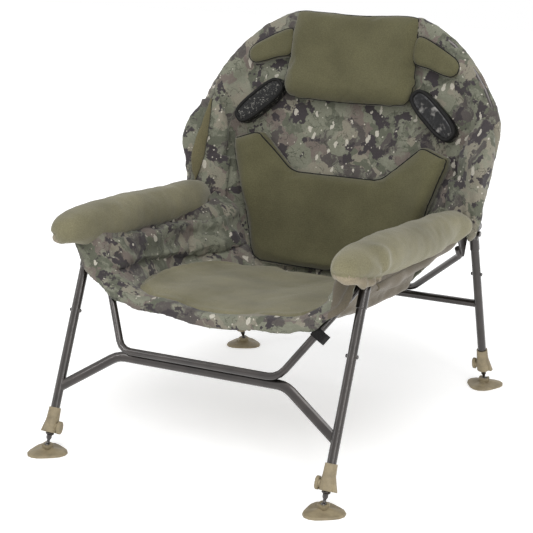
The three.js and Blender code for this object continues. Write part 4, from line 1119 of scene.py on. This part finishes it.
wings = {}
for side in ("left", "right"):
    wing = merged_copy(f"{side}_wing", f"{side}_wing_padded")
    evened(wing, 0.005, 4)
    reshaped(wing, lowered_wing)
    modified(wing, "SMOOTH", factor=0.5, iterations=3)
    inflated(wing, 2.5, 0.006)
    creased(wing, 0.0045, 0.05, 6)
    finished(wing, "back", "camouflage_cloth", camouflage, f"{side}_wing")
    pressed_flat(wing)
    wings[side] = wing
tell(*wings.values())

# %% [markdown]
# A narrow lens of plain olive cloth is let into the inner side of the left wing. It starts as
# a grid between two curves, and each of its points is laid on the nearest place of the wing.

# %% Make the olive lens
LENS_OUTER = ((-355, 246, 22), (-352, 202, 46), (-359, 139, 62), (-361, 90, 65), (-353, 40, 54))
LENS_INNER = ((-350, 243, 24), (-341, 196, 38), (-338, 142, 46), (-339, 98, 47), (-349, 42, 52))
LENS_ROWS = 32
skin = surface_of(wings["left"])
outer_edge, inner_edge = (
    smooth_loop([on_back(*(mm / 1000 for mm in spot)) for spot in edge], LENS_ROWS + 1, False)
    for edge in (LENS_OUTER, LENS_INNER)
)
lens = gridded("left_wing_lens", 6, LENS_ROWS)
for vertex in lens.data.vertices:
    across = vertex.co.x + 0.5
    row = round((vertex.co.y + 0.5) * LENS_ROWS)
    place, normal, _, _ = skin.find_nearest(outer_edge[row].lerp(inner_edge[row], across))
    vertex.co = place + normal * (0.0012 + 0.0015 * math.sin(across * math.pi))
lens.data.update()
thickened(lens, 0.0016, rounded=False)
finished(lens, "back", "olive_back_cloth", strip_olive)
pressed_flat(lens)
print("the lens is cut from", cloth_area(lens), "square metres")
lens_seam = [skin.find_nearest(spot)[0] + OUT_OF_BACK * 0.0006 for spot in inner_edge]
pressed_flat(cord_trim("left_lens_seam", lens_seam, 0.0014, closed=False))

# %% [markdown]
# Between the board, the wing and the end of the arm the same cloth fills the corner. It starts
# as a slanting grid from the board's edge to the wing's inner side, given the thickness of its
# padding.

# %% Make the corner gussets
GUSSET_WIDE, GUSSET_HIGH = (0.283, 0.356), (-0.012, 0.112)
for side, sign in SIDES:
    gusset = gridded(f"{side}_corner_gusset", 12, 20)
    for vertex in gusset.data.vertices:
        share, rise = vertex.co.x + 0.5, vertex.co.y + 0.5
        across = GUSSET_WIDE[0] + (GUSSET_WIDE[1] - GUSSET_WIDE[0]) * share
        lowest = GUSSET_HIGH[0] + 0.066 * share
        up = lowest + (GUSSET_HIGH[1] - lowest) * rise
        over = 0.012 + 0.034 * share + 0.006 * math.sin(share * math.pi)
        over += 0.003 * noise.noise(Vector((across * 40, up * 30, sign * 5.0)))
        vertex.co = on_back(sign * across, up, over)
    gusset.data.update()
    thickened(gusset, 0.008)
    finished(gusset, "back", "camouflage_cloth", camouflage)
    outward = Vector((sign * 0.907, 0, 0)) + OUT_OF_BACK * 0.422
    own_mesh(gusset)
    tell(gusset)

# %% [markdown]
# The lumbar pad fills the middle of the back and has two pointed ears. The headrest is a thick
# soft roll that bulges most along its lower edge. Both are sewn on with black piping.

# %% Make the lumbar pad and the headrest
LUMBAR_HALF = (
    (0, 98), (100, 98), (118, 104), (160, 140), (206, 179), (222, 179), (279, 158), (277, 134),
    (248, 50), (224, -30), (202, -100), (188, -122), (168, -132), (80, -134), (0, -134),
)


OUTLINE_STEP = 0.006


def sharp_loop(points):
    """A closed line through points that keeps its corners, with a point every few millimetres."""
    line = []
    for a, b in zip(points, points[1:] + points[:1]):
        count = max(1, round((b - a).length / OUTLINE_STEP))
        line.extend(a.lerp(b, number / count) for number in range(count))
    return line


def lumbar_front(across, up):
    return 0.019 + 0.020 * ease(0.15, 0.265, abs(across)) * ease(-0.06, 0.06, up)


lumbar_outline = sharp_loop(both_sides(LUMBAR_HALF))
lumbar = shaped_pad("lumbar_pad_padded", lumbar_outline, -0.008, lumbar_front, 0.03)
inflated(lumbar, 2.5, 0.006)
creased(lumbar, 0.0014, 0.08, 7)
finished(lumbar, "back", "olive_back_cloth", olive_back, "lumbar_pad")
rim_piping("lumbar_piping", lumbar_outline, lumbar, 0.0017, 0.006)

HEAD_HALF = (
    (0, 476), (110, 477), (150, 474), (158, 466), (161, 440), (164, 380), (167, 320), (165, 292),
    (155, 273), (134, 266), (60, 262), (0, 261),
)
head_outline = smooth_loop(both_sides(HEAD_HALF), 160)


def head_front(across, up):
    return 0.024 + 0.006 * ease(0.36, 0.29, up) - 0.004 * ease(0.41, 0.46, up)


headrest = shaped_pad("headrest_padded", head_outline, -0.008, head_front, 0.032)
inflated(headrest, 2.5, 0.006)
creased(headrest, 0.0016, 0.08, 9)
finished(headrest, "back", "olive_back_cloth", olive_back, "headrest")
rim_piping("headrest_piping", head_outline, headrest, 0.0012, 0.001)
tell(lumbar, headrest)

# %% [markdown]
# Two small olive pads sit beside the headrest, and two black ones below them. The black ones
# cover vents, one with net and one with a shiny cloth, and each has a thick black rim.

# %% Make the small pads
def slanted_outline(sign, middle, half, turn, roundness):
    line = []
    for number in range(72):
        angle = number * math.tau / 72
        wide, high = math.cos(angle), math.sin(angle)
        reach = (abs(wide) ** roundness + abs(high) ** roundness) ** (-1 / roundness)
        spot = Vector((half[0] * reach * wide, half[1] * reach * high))
        spot.rotate(Matrix.Rotation(turn, 2))
        line.append(Vector((sign * (middle[0] + spot.x), middle[1] + spot.y)))
    return line


VENT_POINTS = (
    (158, 426), (172, 430), (196, 421), (238, 399), (262, 384), (272, 368), (268, 350), (254, 341),
    (232, 344), (196, 356), (160, 366), (150, 396),
)
for side, sign in SIDES:
    vent_half = [Vector((sign * x, y)) / 1000 for x, y in VENT_POINTS]
    vent_outline = smooth_loop(vent_half if sign < 0 else vent_half[::-1], 96)
    vent = shaped_pad(f"{side}_vent_padded", vent_outline, -0.004, lambda a, u: 0.021, 0.014, 0.003)
    finished(vent, "back", "olive_back_cloth", olive_back, f"{side}_vent_pad")
    rim_piping(f"{side}_vent_piping", vent_outline, vent, 0.0014, 0.002)
    black_outline = slanted_outline(sign, (0.224, 0.252), (0.073, 0.0275), math.radians(-42), 3.0)
    black = shaped_pad(
        f"{side}_net_padded", black_outline, -0.004, lambda a, u: 0.024, 0.016, 0.003
    )
    finished(black, "back", "black_net", net if side == "left" else shiny, f"{side}_net_pad")
    rim_piping(f"{side}_net_rim", black_outline, black, 0.0045, 0.005)
    tell(vent, black)

# %% [markdown]
# A flat black strap ties the front of the sling to the tube below it. Such webbing is stiff and
# keeps the shape that it was drawn with, so it only gets its finish here. It is a strip of one
# width.

# %% Make the strap
strap = merged_copy("seat_strap", "seat_strap_webbing")
finished(strap, "seat_frame", "black_webbing", webbing, "seat_strap")
